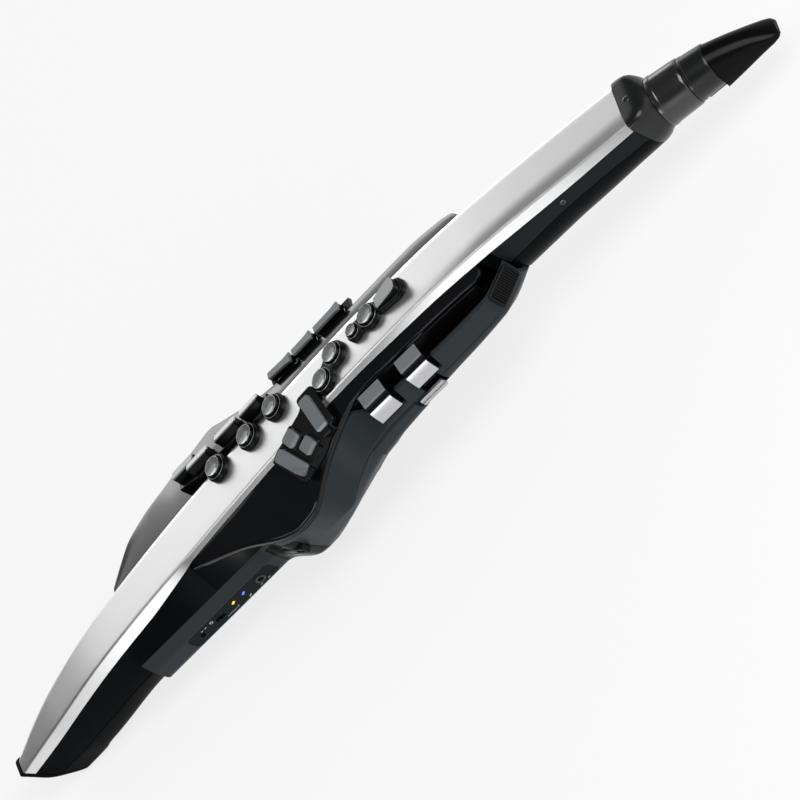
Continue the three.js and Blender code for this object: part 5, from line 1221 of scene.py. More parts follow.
@dataclass
class Mouth:
    """Barrel, shank, mouthpiece and reed along one falling axis."""

    radius: float = 16.4
    axis_up: float = 21.7
    fall: float = 0.2
    start: float = MOUTH_START
    barrel_end: float = 0.9115
    shank_end: float = 0.937
    tip: float = 0.9975
    table_up: float = 5.4
    table_fall: float = 0.118
    sides: int = 72
    tilt: float = 0.25
    top: Run = run(27.0, [
        (0.937, 1), (0.955, 0.8), (0.974, 0.54), (0.988, 0.28), (0.9975, 0.06)])
    half: Run = run(9.2, [
        (0.937, 1.42), (0.955, 1.28), (0.974, 1.1), (0.988, 0.99), (0.9945, 0.86), (0.9975, 0.55)])

    def axis(self, x: float) -> float:
        """Height of the axis."""
        return self.axis_up - self.fall * (x - along(self.start))

    def table(self, x: float) -> float:
        """Height of the flat that the reed lies on."""
        return self.table_up - self.table_fall * (x - along(self.barrel_end))

    def ring(self, x: float, half: float, low: float, high: float, power: float,
             floor: float = NO_FLOOR) -> Array:
        """Closed ring: an ellipse below, a superellipse of the given power above, cut flat at the floor.

        Args:
            x: place along the body.
            half: half width.
            low: lowest point before the cut.
            high: highest point.
            power: 2 is an ellipse, more is squarer.
            floor: height of the flat.

        Returns:
            (sides, 3) points.
        """
        angle = 2 * math.pi * (np.arange(self.sides) + 0.5) / self.sides
        sine, cosine = np.sin(angle), np.cos(angle)
        power_at = np.where(sine > 0, power, 2.0)
        up = np.sign(sine) * np.abs(sine) ** (2 / power_at)
        out = np.sign(cosine) * np.abs(cosine) ** (2 / power_at)
        z = np.maximum((low + high) / 2 + (high - low) / 2 * up, floor)
        return np.column_stack([x + self.lean(x) * (z - self.axis(x)), half * out, z])

    def lean(self, x: float) -> float:
        """Tilt of the rings towards square to the axis; it grows over the collar and fades over the beak."""
        stops = [along(0.86), along(self.start), along(self.shank_end), along(0.99)]
        share = np.interp(x, stops, [0, 1, 1, 0])
        return float(self.tilt * share)

    def sleeve(self, name: str, start: float, end: float, shape: Shares, finish: Finish, node: str,
               floor: Callable[[float], float] = lambda x: NO_FLOOR) -> None:
        """Round sleeve on the axis.

        Args:
            name: piece name.
            start: share of the length where it begins, less the gap.
            end: share where it ends.
            shape: shares of its own length and of the barrel's radius.
            finish: its finish.
            node: CAD node.
            floor: height of the flat on its lower side.
        """
        rows, low, high = [], along(start) + GAP, along(end)
        for share, size in shape:
            x, r = low + (high - low) * share, size * self.radius
            rows.append(self.ring(x, r, self.axis(x) - r, self.axis(x) + r, 2, floor(x)))
        piece(name, tube(np.array(rows)), finish, stands_for=[node])
    def build(self) -> None:
        """Make the four pieces."""
        self.sleeve("barrel", self.start, self.barrel_end, (
            (0, 0.985), (0.02, 1), (0.13, 1), (0.15, 0.985), (0.17, 0.975), (0.4, 0.965), (0.7, 0.952),
            (0.92, 0.94), (0.97, 0.925), (1, 0.9)), BARREL, "mouthpiece_barrel")
        self.sleeve("shank", self.barrel_end, self.shank_end, (
            (0, 0.875), (0.03, 0.89), (0.12, 0.89), (0.14, 0.872), (0.5, 0.85), (0.9, 0.82), (0.97, 0.81),
            (1, 0.79)), SATIN, "mouthpiece_shank", self.table)
        rows = []
        for x in np.concatenate([stations(along(self.shank_end) + GAP, along(0.992), 1.5),
                                 along(1) * np.array([0.9935, 0.9947, 0.9958, 0.9967, 0.9975])]):
            low, high = self.table(x), float(self.top(x))
            rows.append(self.ring(x, float(self.half(x)), low - (high - low) * 0.6, high, 2.2, low))
        piece("mouthpiece_beak", tube(np.array(rows)), EBONITE, stands_for=["mouthpiece"])
        heel, tip = along(self.barrel_end) + 2 * GAP, along(self.tip) - 3 * GAP
        x = stations(heel, tip, 1.5)
        share = (x - heel) / (tip - heel)
        thick = np.interp(share, [0, 0.35, 0.93, 1], [2.2, 2.2, 0.9, 0.7])
        half = 8.6 * np.sqrt(1 - np.clip((share - 0.86) / 0.15, 0, 1) ** 2 * 0.72)
        top = self.table(x) - GAP
        raw = section((-half, top), (half, top), (half * 0.9, top - thick), (-half * 0.9, top - thick))
        piece("cane", tube(rings_at(x, rounded(raw, (0, 0, 1.5, 1.5), 5))), REED, stands_for=["reed"])


MOUTH = Mouth()


# Keys.
def circle(x: float, y: float, radius: float, start: float = 0, end: float = 2 * math.pi,
           steps: int = 64) -> Array:
    """Arc of points about (x, y), without its last point when it is a full turn."""
    full = abs(abs(end - start) - 2 * math.pi) < 1e-6
    angle = np.linspace(start, end, steps, endpoint=not full)
    return np.column_stack([x + radius * np.cos(angle), y + radius * np.sin(angle)])


def two_discs(a: Sequence[float], b: Sequence[float], fillet: float) -> Array:
    """Outline of two round discs joined by fillets that touch both circles.

    Args:
        a: first disc as x, y, radius.
        b: second disc, which lies towards +X of the first.
        fillet: radius of the hollow arcs between the discs.

    Returns:
        (points, 2), counter-clockwise.
    """
    (ax, ay, ar), (bx, by, br) = a, b
    apart = math.hypot(bx - ax, by - ay)
    lean = math.atan2(by - ay, bx - ax)
    first, second = ar + fillet, br + fillet
    at_a = math.acos((apart ** 2 + first ** 2 - second ** 2) / (2 * apart * first))
    at_b = math.acos((apart ** 2 + second ** 2 - first ** 2) / (2 * apart * second))
    up = (ax + first * math.cos(lean + at_a), ay + first * math.sin(lean + at_a))
    down = (ax + first * math.cos(lean - at_a), ay + first * math.sin(lean - at_a))
    arcs = [
        circle(bx, by, br, lean - math.pi + at_b, lean + math.pi - at_b, 44),
        circle(*up, fillet, lean - at_b, lean + at_a - math.pi, 10)[1:-1],
        circle(ax, ay, ar, lean + at_a, lean + 2 * math.pi - at_a, 44),
        circle(*down, fillet, lean + math.pi - at_a, lean + at_b, 10)[1:-1],
    ]
    return np.concatenate(arcs)


@dataclass(frozen=True)
class PearlKey:
    """Round key touch: a dished cap with a shallow pearl inlay inside its rim."""

    letter: str
    radius: float = 6.4
    low: float = 2.6
    rise: float = 5.9
    rim: float = 0.95
    dish: float = 1.15
    clear: float = 0.35
    base_rim: float = 2.1
    base_high: float = 4.0
    step: float = 1.4

    @property
    def outer(self) -> float:
        """Outer radius of the key's base."""
        return self.radius + self.base_rim

    def build(self, seat: Seat) -> None:
        """Make the cap (rounded rim, sunk floor) and the inlay (z rises with the square of the radius)."""
        node, r, top, rim = f"pearl_key_{self.letter}", self.radius, self.rise, self.rim
        t = np.linspace(0, math.pi, 9)
        crown = np.column_stack([r - rim / 2 + rim / 2 * np.cos(t), top - rim / 2 + rim / 2 * np.sin(t)])
        profile = np.vstack([[0, self.low], [r - 0.3, self.low], [r, self.low + 0.3], crown,
                             [r - rim - 0.06, top - 1.0], [0, top - self.dish - 0.9]])
        piece(f"pearl_cap_{self.letter}", turned(profile, seat, 72), BASE, node, stands_for=[node])
        # Painted highlight: a bright ring along the cap's rim, where the rim catches the light.
        self.ring(f"pearl_rim_{self.letter}", seat, r - rim / 2 - 0.1, top - 0.22, 0.3, node)
        s = np.linspace(1, 0, 14)
        radius = (r - rim + 0.02) * s
        bowl = np.column_stack([radius, top - 0.32 - self.dish * (1 - s ** 2)])
        inlay = np.vstack([[0, top - self.dish - 1.0], [r - rim + 0.02, top - 0.9], bowl])
        piece(f"pearl_inlay_{self.letter}", turned(inlay, seat, 72), PEARL, node)

    def ring(self, name: str, seat: Seat, middle: float, high: float, thick: float, body: str = ROOT) -> None:
        """Thin bright ring of painted highlight, given by its middle radius, its height and half its
        thickness.
        """
        t = np.arange(10) * 2 * math.pi / 10
        profile = np.column_stack([middle + thick * np.cos(t), high + thick * np.sin(t)])
        piece(name, turned(profile, seat, 72, closed=True), HIGHLIGHT_PLATE, body)

    def edge_highlight(self, seat: Seat) -> None:
        """Painted highlight: a thin bright line round the hole of the base, where its edge catches the light.
        """
        self.ring(f"trim_ring_{self.letter}", seat, self.outer - 1.2, self.base_high - 0.06, 0.17)

    def levels(self) -> list[tuple[float, float]]:
        """Inset and height of the base's foot, its rounded shoulder, the ledge and the inner ring."""
        ledge = self.base_high - self.step
        return [(0, 0), (0, ledge - 0.7), (0.1, ledge - 0.3), (0.32, ledge - 0.06), (0.6, ledge),
                (0.86, ledge + 0.05), (0.95, ledge + 0.4), (1.0, self.base_high - 0.35),
                (1.12, self.base_high - 0.08), (1.32, self.base_high)]

    def hole(self, seat: Seat) -> Surface:
        """Cutting post of the base's hole."""
        return block(seat, circle(0, 0, self.radius + self.clear, steps=72), [(0, -5), (0, 12)])


@dataclass(frozen=True)
class FrontKey:
    """Tall wedge key at the mouthpiece end of the upper stack."""

    at: float = 0.0275
    long: float = 19.0
    wide: float = 10.0
    near_rise: float = 5.8
    far_rise: float = 9.14

    def outline(self, grow: float, corner: float) -> Array:
        """Bullet outline in the upper seat: square at the round key, round at the far end."""
        near = along(self.at) - self.long / 2 - grow
        far, w = along(self.at) + self.long / 2 + grow, self.wide / 2 + grow
        raw = np.array([[[near, -w * 0.78], [far - w * 0.75, -w], [far - w * 0.1, -w * 0.72], [far, 0],
                         [far - w * 0.1, w * 0.72], [far - w * 0.75, w], [near, w * 0.78]]])
        return rounded(raw, (corner, 3.4, 4, 4, 4, 3.4, corner), 6)[0]

    def build(self, seat: Seat) -> None:
        """Make the wedge; its flat top climbs evenly from the near to the far rise."""
        near, climb = along(self.at) - self.long / 2, self.far_rise - self.near_rise
        high = self.near_rise

        def lift(ring: Array) -> Array:
            """Extra height along the wedge."""
            return climb * (ring[:, 0] - near) / self.long

        body = block(seat, self.outline(0, 0.9), [(0, 2.6), (0, high - 0.75)], lift)
        piece("front_key_body", body, BASE, "front_key", stands_for=["front_key"], edge=Edge.HAIR)
        cap = block(seat, self.outline(0, 0.9),
                    [(0.02, high - 0.72), (0.02, high - 0.3), (0.12, high - 0.1), (0.4, high)], lift)
        piece("front_key_top", cap, TOUCH_LIGHT, "front_key")


@dataclass
class PearlStacks:
    """The three single rings of the lower stack and the shared bases of the middle and upper stacks."""

    lower: tuple[tuple[str, float, float], ...] = (
        ("d", 0.3515, 0.66), ("e", 0.3955, 0.51), ("f", 0.4325, 0.525))
    middle_at: float = 0.4925
    upper_at: float = 0.5605
    upper_across: float = 2.338
    front: FrontKey = field(default_factory=FrontKey)

    def rings(self, grow: float = GAP) -> list[Surface]:
        """Cutting posts that clear the lower rings out of neighbouring pieces."""
        key = PearlKey("d")
        post = circle(0, 0, key.outer + grow)
        return [block(LINES.seat(share, across * PANEL_HALF), post, [(0, -5), (0, 12)])
                for _, share, across in self.lower]

    def build(self) -> None:
        """Make all round keys, their bases and the front key."""
        for letter, share, across in self.lower:
            key, seat = PearlKey(letter), LINES.seat(share, across * PANEL_HALF)
            foot = block(seat, circle(0, 0, key.outer, steps=72), key.levels())
            piece(f"base_ring_{letter}", foot, BASE, stands_for=[f"key_ring_{letter}"],
                  tools=[key.hole(seat)])
            key.build(seat)
            key.edge_highlight(seat)
        seat = LINES.seat(self.middle_at, 0)
        g, a = (0.0, -0.5 * PANEL_HALF), (along(0.0199), 0.066 * PANEL_HALF)
        key = PearlKey("g")
        outline = two_discs((*g, key.outer), (*a, key.outer), 5.0)
        holes = [key.hole(seat.moved(*place)) for place in (g, a)]
        piece("middle_base", block(seat, outline, key.levels()), BASE, stands_for=["middle_key_base"],
              tools=holes)
        for letter, place in (("g", g), ("a", a)):
            key = PearlKey(letter)
            key.build(seat.moved(*place))
            key.edge_highlight(seat.moved(*place))
        seat = LINES.seat(self.upper_at, self.upper_across)
        small, big = PearlKey("small", radius=4.0, rim=0.5, dish=0.7), PearlKey("b")
        at = (along(-0.0197), -0.05 * PANEL_HALF)
        outline = two_discs((*at, small.outer), (0.0, 0.0, big.outer), 4.0)
        made = mesh_object("upper_base_raw", block(seat, outline, big.levels()))
        carve(made, [block(seat, self.front.outline(big.base_rim, 3.0), big.levels())], Cut.JOIN)
        carve(made, [big.hole(seat), small.hole(seat.moved(*at)),
                     block(seat, self.front.outline(big.clear, 1.0), [(0, -5), (0, 12)])])
        enrol(made, "upper_base", BASE, stands_for=["upper_key_base"])
        for pearl, spot in ((small, seat.moved(*at)), (big, seat)):
            pearl.build(spot)
            pearl.edge_highlight(spot)
        self.front.build(seat)


def slanted(seat: Seat, outline: Array, low: float, high: float, away: Array, run: float) -> Surface:
    """Prism whose flat top ends in one slanted facet.

    The top height is the smaller of the full height and a plane that falls by as much as it runs.

    Args:
        seat: frame whose Z is the way up.
        outline: (points, 2) in the seat's X and Y.
        low: height of the floor.
        high: full height.
        away: direction in X and Y towards which the facet falls.
        run: length of the facet along that direction.

    Returns:
        The closed solid.
    """
    crease = float((outline @ away).max()) - run
    ring: list[Array] = []
    for here, ahead in zip(outline, np.roll(outline, -1, axis=0)):
        ring.append(here)
        past, next_past = float(here @ away) - crease, float(ahead @ away) - crease
        if past * next_past < 0:
            ring.append(here + (ahead - here) * past / (past - next_past))
    corners = np.array(ring)
    past = corners @ away - crease
    count = len(corners)
    points = np.vstack([np.column_stack([corners, np.full(count, low)]),
                        np.column_stack([corners, high - np.maximum(0.0, past)])])
    faces = [(i, (i + 1) % count, count + (i + 1) % count, count + i) for i in range(count)]
    faces.append(tuple(reversed(range(count))))
    faces.append(tuple(count + i for i in range(count) if past[i] <= 1e-6))
    faces.append(tuple(count + i for i in range(count) if past[i] >= -1e-6))
    return Surface(seat.to_body(points), faces).outward()


@dataclass(frozen=True)
class BarKey:
    """Long key with rounded corners, in a well of its base."""

    name: str
    long: float
    wide: float
    low: float
    high: float
    corner: float = 1.5
    plate: float = 0.0
    cover: float = 0.0
    facet: float = 0.0
    facet_turn: float = 0.0

    def well(self, seat: Seat) -> Surface:
        """Cutting block of the key's well."""
        outline = soft_rectangle(self.long + 1, self.wide + 1, self.corner + 0.5)
        return block(seat, outline, [(0, -12), (0, 12)])

    def build(self, seat: Seat, body: Finish, top: Finish) -> None:
        """Make the key; a plate above zero gives it a lighter top plate.

        Args:
            seat: frame at the key's middle.
            body: finish of the stem.
            top: finish of the plate or of the whole key.
        """
        outline = soft_rectangle(self.long, self.wide, self.corner, 7)
        high, neck = self.high, self.high - self.plate
        if self.plate:
            levels = [(0, self.low), (0, high - 0.5), (0.3, high - 0.15), (0.6, high - 0.1)]
            stem = block(seat, inset(outline, 0.05), levels)
            piece(f"{self.name}_stem", stem, body, self.name, stands_for=[self.name])
            levels = [(0.12, neck + 0.02), (0, neck + 0.14), (0, high - 0.3), (0.1, high - 0.1), (0.36, high)]
            spot = seat.moved(0, (self.wide - self.cover) / 2)
            cap = soft_rectangle(self.long, self.cover, min(self.corner, self.cover / 2.5), 7)
            piece(f"{self.name}_plate", block(spot, cap, levels), top, self.name)
            return
        away = np.array([math.sin(self.facet_turn), -math.cos(self.facet_turn)])
        piece(f"{self.name}_bar", slanted(seat, outline, self.low, high, away, self.facet), top, self.name,
              stands_for=[self.name], edge=Edge.FINE)


@dataclass(frozen=True)
class Saddle:
    """Base that follows the outer surface below and a tilted plane above.

    The plane stands a lift over the face at the edge of its flat top, and falls away from the middle.
    The edges are rows of share of the length, inner edge and outer edge in panel halves.
    """

    side: int
    tilt: float
    lift: float
    corner: float
    edges: tuple[tuple[float, float, float], ...]

    def solid(self) -> Surface:
        """The base, from four lines under it to the two edges of its plane."""
        x = between(self.edges[0][0], self.edges[-1][0], 1.5)
        inner, outer = (Run([(row[0], row[i]) for row in self.edges], PANEL_HALF)(x) for i in (1, 2))
        side, half = self.side, LINES.half(x)
        edge = (LINES.silver_edge if side < 0 else LINES.left_edge)(x)[0] * side
        places = [inner, np.maximum(half, inner + GAP), np.maximum(edge, inner + 2 * GAP), outer]
        low = []
        for place, up in zip(places, (0.3, 0.36, 0.39, 0.3)):
            under = [LINES.surface(float(px), side * float(py)) for px, py in zip(x, place)]
            low.append((side * place, np.array(under) + up))
        top = [(side * place, LINES.face(x) + self.lift - self.tilt * (place - half))
               for place in (outer, inner)]
        return tube(rings_at(x, rounded(section(*low, *top), (0, 0, 0, 0.3, self.corner, self.corner), 7)))

    def seat(self, x: float, across: float) -> Seat:
        """Frame on the plane at a place along and a distance from the middle."""
        height = LINES.face.at(x) + self.lift - self.tilt * (across - LINES.half.at(x))
        return tilted(x, self.side * across, height, LINES.slope(x), -self.side * math.atan(self.tilt))


@dataclass
class LittleFingerTable:
    """Black table on the right wing with its four grey keys and raised stops."""

    at: float = 0.448
    base: Saddle = Saddle(-1, 0.36, 2.6, 1.3, (
        (0.4085, 1.26, 1.36), (0.416, 1.12, 2.0), (0.4235, 1.05, 2.62), (0.43, 1.02, 2.64),
        (0.443, 0.86, 2.5), (0.456, 0.74, 2.34), (0.467, 0.5, 2.12), (0.478, 0.5, 2.02)))
    keys: tuple[tuple[str, float, float, float, float, float], ...] = (
        ("gsharp_key", 0.0215, -4.2, 8.4, 23.0, 0.0), ("csharp_key", -0.0105, -4.4, 9.6, 8.83, 0.3),
        ("low_b_key", -0.0003, -15.8, 9.6, 8.83, 0.3), ("low_b_flat_key", -0.0232, -15.6, 8.4, 23.0, 0.42))
    corner_turn: float = -0.7
    margin: float = 3.2
    extra: float = 3.0
    stop_gap: float = 3.1

    def build(self) -> None:
        """Make the table, with a raised field and a stop for its keys, and the keys themselves."""
        place = along(self.at)
        seat = self.base.seat(place, LINES.half.at(place))
        wells, raised, made = [], [], []
        for name, u, v, wide, long, turn in self.keys:
            worn = name == "low_b_flat_key"
            key = BarKey(name, wide, long, -0.6, 2.8, corner=2.0, facet=3.4 if worn else 1.7,
                         facet_turn=self.corner_turn if worn else 0.0)
            spot = seat.moved(along(u), v, 0, turn)
            wells.append(block(spot, soft_rectangle(wide + 1, long + 1, 2.4), [(0, -20), (0, 20)]))
            side = self.extra if name == "gsharp_key" else 0.0
            field_ring = soft_rectangle(wide + self.margin + side, long + self.margin + side / 2, 3.2)
            raised.append(block(spot.moved(side / 2, side / 3), field_ring,
                                [(0, -2.5), (0, 0.5), (0.35, 0.8)]))
            if name != "csharp_key":
                stop = spot.moved(0, -long / 2 - self.stop_gap)
                raised.append(block(stop, soft_rectangle(wide * 0.86, 3.2, 1.1),
                                    [(0, -3), (0, 1.6), (0.5, 2.1)]))
            made.append((key, spot))
        table = mesh_object("table_raw", self.base.solid())
        carve(table, raised, Cut.JOIN)
        carve(table, wells)
        enrol(table, "little_finger_table", BASE, stands_for=["pinky_table"], edge=Edge.FINE)
        for key, spot in made:
            key.build(spot, BASE, TOUCH)


@dataclass
class SideKeys:
    """Cradle on the left edge of the front cover with the four side keys of the right hand."""

    base: Saddle = Saddle(1, 0.3, 2.2, 1.2, (
        (0.302, 1.55, 2.4), (0.315, 1.4, 2.42), (0.33, 1.15, 2.2), (0.345, 1.15, 1.86), (0.36, 1.1, 1.78),
        (0.382, 1.02, 1.7), (0.394, 1.02, 1.64), (0.404, 0.72, 1.54), (0.427, 0.72, 1.5)))
    wide: float = 6.6
    narrow_plate: float = 4.6
    keys: tuple[tuple[str, float, float, float, float], ...] = (
        ("side_key_a", 0.4115, 1.2, -0.02, 16.77), ("side_key_b", 0.378, 1.35, -0.1, 19.5),
        ("side_key_c", 0.3375, 1.52, -0.1, 19.5), ("side_key_d", 0.3175, 1.98, -0.1, 19.5))

    def build(self, stacks: PearlStacks) -> None:
        """Make the cradle and the keys.

        Args:
            stacks: the pearl keys whose rings stay clear.
        """
        wells, made = stacks.rings(), []
        for name, share, across, turn, long in self.keys:
            seat = self.base.seat(along(share), across * PANEL_HALF).moved(0, 0, 0, turn)
            whole = name == "side_key_d"
            key = BarKey(name, long, self.wide, -0.6, 6.0, corner=1.3, plate=1.2,
                         cover=self.wide if whole else self.narrow_plate)
            wells.append(key.well(seat))
            made.append((key, seat, TOUCH if whole else TOUCH_TOP))
        piece("side_cradle", self.base.solid(), BASE, stands_for=["side_key_cradle"], edge=Edge.HAIR,
              tools=wells)
        for key, seat, top in made:
            key.build(seat, BASE, top)


@dataclass
class Rail:
    """Thin rail on the left wing's edge with three long keys that flare at the mouthpiece end."""

    span: tuple[float, float] = (0.428, 0.537)
    wide: float = 7.4
    high: float = 2.2
    key_wide: float = 4.6
    rise: float = 5.0
    flare: float = 1.3
    keys: tuple[tuple[str, float, float], ...] = (
        ("rail_key_low", 0.4475, 21.0), ("rail_key_middle", 0.4785, 17.0), ("rail_key_high", 0.5125, 22.0))

    def line(self, x: Array) -> tuple[Array, Array]:
        """Inner upper edge of the rail, as across and up."""
        y, z = LINES.left_tip(x)
        return y + GAP, z - GAP

    def build(self) -> None:
        """Make the rail and its keys."""
        x = between(*self.span, 1.5)
        y, z = self.line(x)
        raw = section((y, z), (y + self.wide, z), (y + self.wide, z - self.high * 1.5), (y, z - self.high))
        wells = []
        for name, share, long in self.keys:
            place = along(share)
            (y0, y1), (z0, z1) = self.line(np.array([place - long / 2, place + long / 2]))
            y, z = line_at(self.line, place)
            seat = tilted(place, y + self.wide / 2, z, math.atan2(z1 - z0, long), 0.0)
            seat = seat.moved(0, 0, 0, math.atan2(y1 - y0, long))
            wells.append(block(seat, soft_rectangle(long + 1, self.key_wide + 1, 0.6), [(0, -12), (0, 12)]))
            self.key(name, seat, long)
        piece("side_rail", tube(rings_at(x, rounded(raw, (0.3, 0.9, 0.6, 0.3), 5))), BASE,
              stands_for=["side_key_rail"], edge=Edge.HAIR, tools=wells)

    def key(self, name: str, seat: Seat, long: float) -> None:
        """One key: a straight stem and a bright plate that widens towards the mouthpiece."""
        w, end = self.key_wide / 2, long / 2
        stem = soft_rectangle(long, self.key_wide, 0.6)
        neck, high = self.rise * 0.62, self.rise
        piece(f"{name}_stem", block(seat, stem, [(0, -0.6), (0, neck)]), BASE, name, stands_for=[name],
              edge=Edge.HAIR)
        raw = np.array([[[-end, -w], [end * 0.55, -w], [end, -w - self.flare / 2], [end, w + self.flare],
                         [end * 0.55, w + 0.2], [-end, w]]])
        ring = rounded(raw, (0.7, 3, 0.8, 0.8, 3, 0.7), 5)[0]
        levels = [(0.15, neck + 0.02), (0, neck + 0.17), (0, high - 0.3), (0.1, high - 0.1), (0.36, high)]
        piece(f"{name}_plate", block(seat, ring, levels), TOUCH, name)


@dataclass
class PalmKeys:
    """Two bent levers whose faces come out through the shell's notches, and a bar key below them."""

    at: tuple[tuple[str, float], ...] = (("palm_key_low", 0.525), ("palm_key_high", 0.572))
    long: float = 18.0
    pivot_out: float = 31.0
    drop: float = 1.0
    thick: float = 2.2
    face: float = 1.0
    reach: float = 20.5
    steps: int = 80
    turns: tuple[tuple[float, float], ...] = (
        (0.0, 0.42), (0.3, 0.42), (0.39, 0.5), (0.488, 0.87), (0.586, 1.2), (0.7, 1.32), (1.0, 1.32))
    bar_at: float = 0.5625
    bar_long: float = 20.0
    bar_low: float = 24.8
    bar_high: float = 5.6

    def strip(self, start: float, end: float, low: float, high: float) -> Array:
        """Cross outline of part of the strip between two heights above its inner face.

        The strip's turn in radians runs through the table of turns by share, and its line is the
        running sum of short steps at that turn.

        Args:
            start: first share of the strip's length.
            end: last share.
            low: height of the outline's inner side.
            high: height of its outer side.

        Returns:
            (points, 2) of across and up from the pivot.
        """
        s = np.linspace(0, 1, self.steps + 1)
        turn = np.interp(s, *zip(*self.turns))
        step = self.reach / self.steps
        line = np.column_stack([-np.cumsum(np.cos(turn)) * step, -np.cumsum(np.sin(turn)) * step])
        out = np.column_stack([-np.sin(turn), np.cos(turn)])
        keep = (s >= start) & (s <= end)
        return np.concatenate([(line + out * high)[keep], (line + out * low)[keep][::-1]])

    def build(self) -> None:
        """Make the levers with their bright faces and grey pads, and the bar."""
        skin = self.thick + 0.02
        for node, share in self.at:
            _, tip = line_at(LINES.right_tip, along(share))
            origin = np.array([along(share), -self.pivot_out, tip - self.drop])
            for part, narrower, cross, finish in (
                    ("arm", 0.0, self.strip(0, 0.91, 0, self.thick), BASE),
                    ("face", 0.2, self.strip(0.52, 0.985, skin, self.thick + self.face), PALM),
                    ("pad", 0.2, self.strip(0.01, 0.4, skin, self.thick + 0.9), TOUCH)):
                half = self.long / 2 - narrower
                rows = [np.column_stack([np.full(len(cross), x), cross]) + origin for x in (-half, half)]
                piece(f"{node}_{part}", tube(np.array(rows)), finish, node,
                      stands_for=[node] if part == "arm" else (), edge=Edge.FINE)
        x, half = along(self.bar_at), self.thick / 2
        y = half - LINES.side_out.at(x) - self.face
        seat = Seat((x, y, self.bar_low + self.bar_high / 2), RIGHT_SIDE)
        body = block(seat, soft_rectangle(self.bar_long, self.bar_high, 1.2),
                     [(0, -half), (0, half - 0.35), (0.12, half - 0.1), (0.4, half)])
        groove = block(seat, soft_rectangle(self.bar_long + 2, 1.4, 0.2), [(0, half - 0.8), (0, 4)])
        piece("palm_bar", body, PALM, "palm_key_third", stands_for=["palm_key_third"], edge=Edge.HAIR,
              tools=[groove])


# Jacks, back and inner parts.


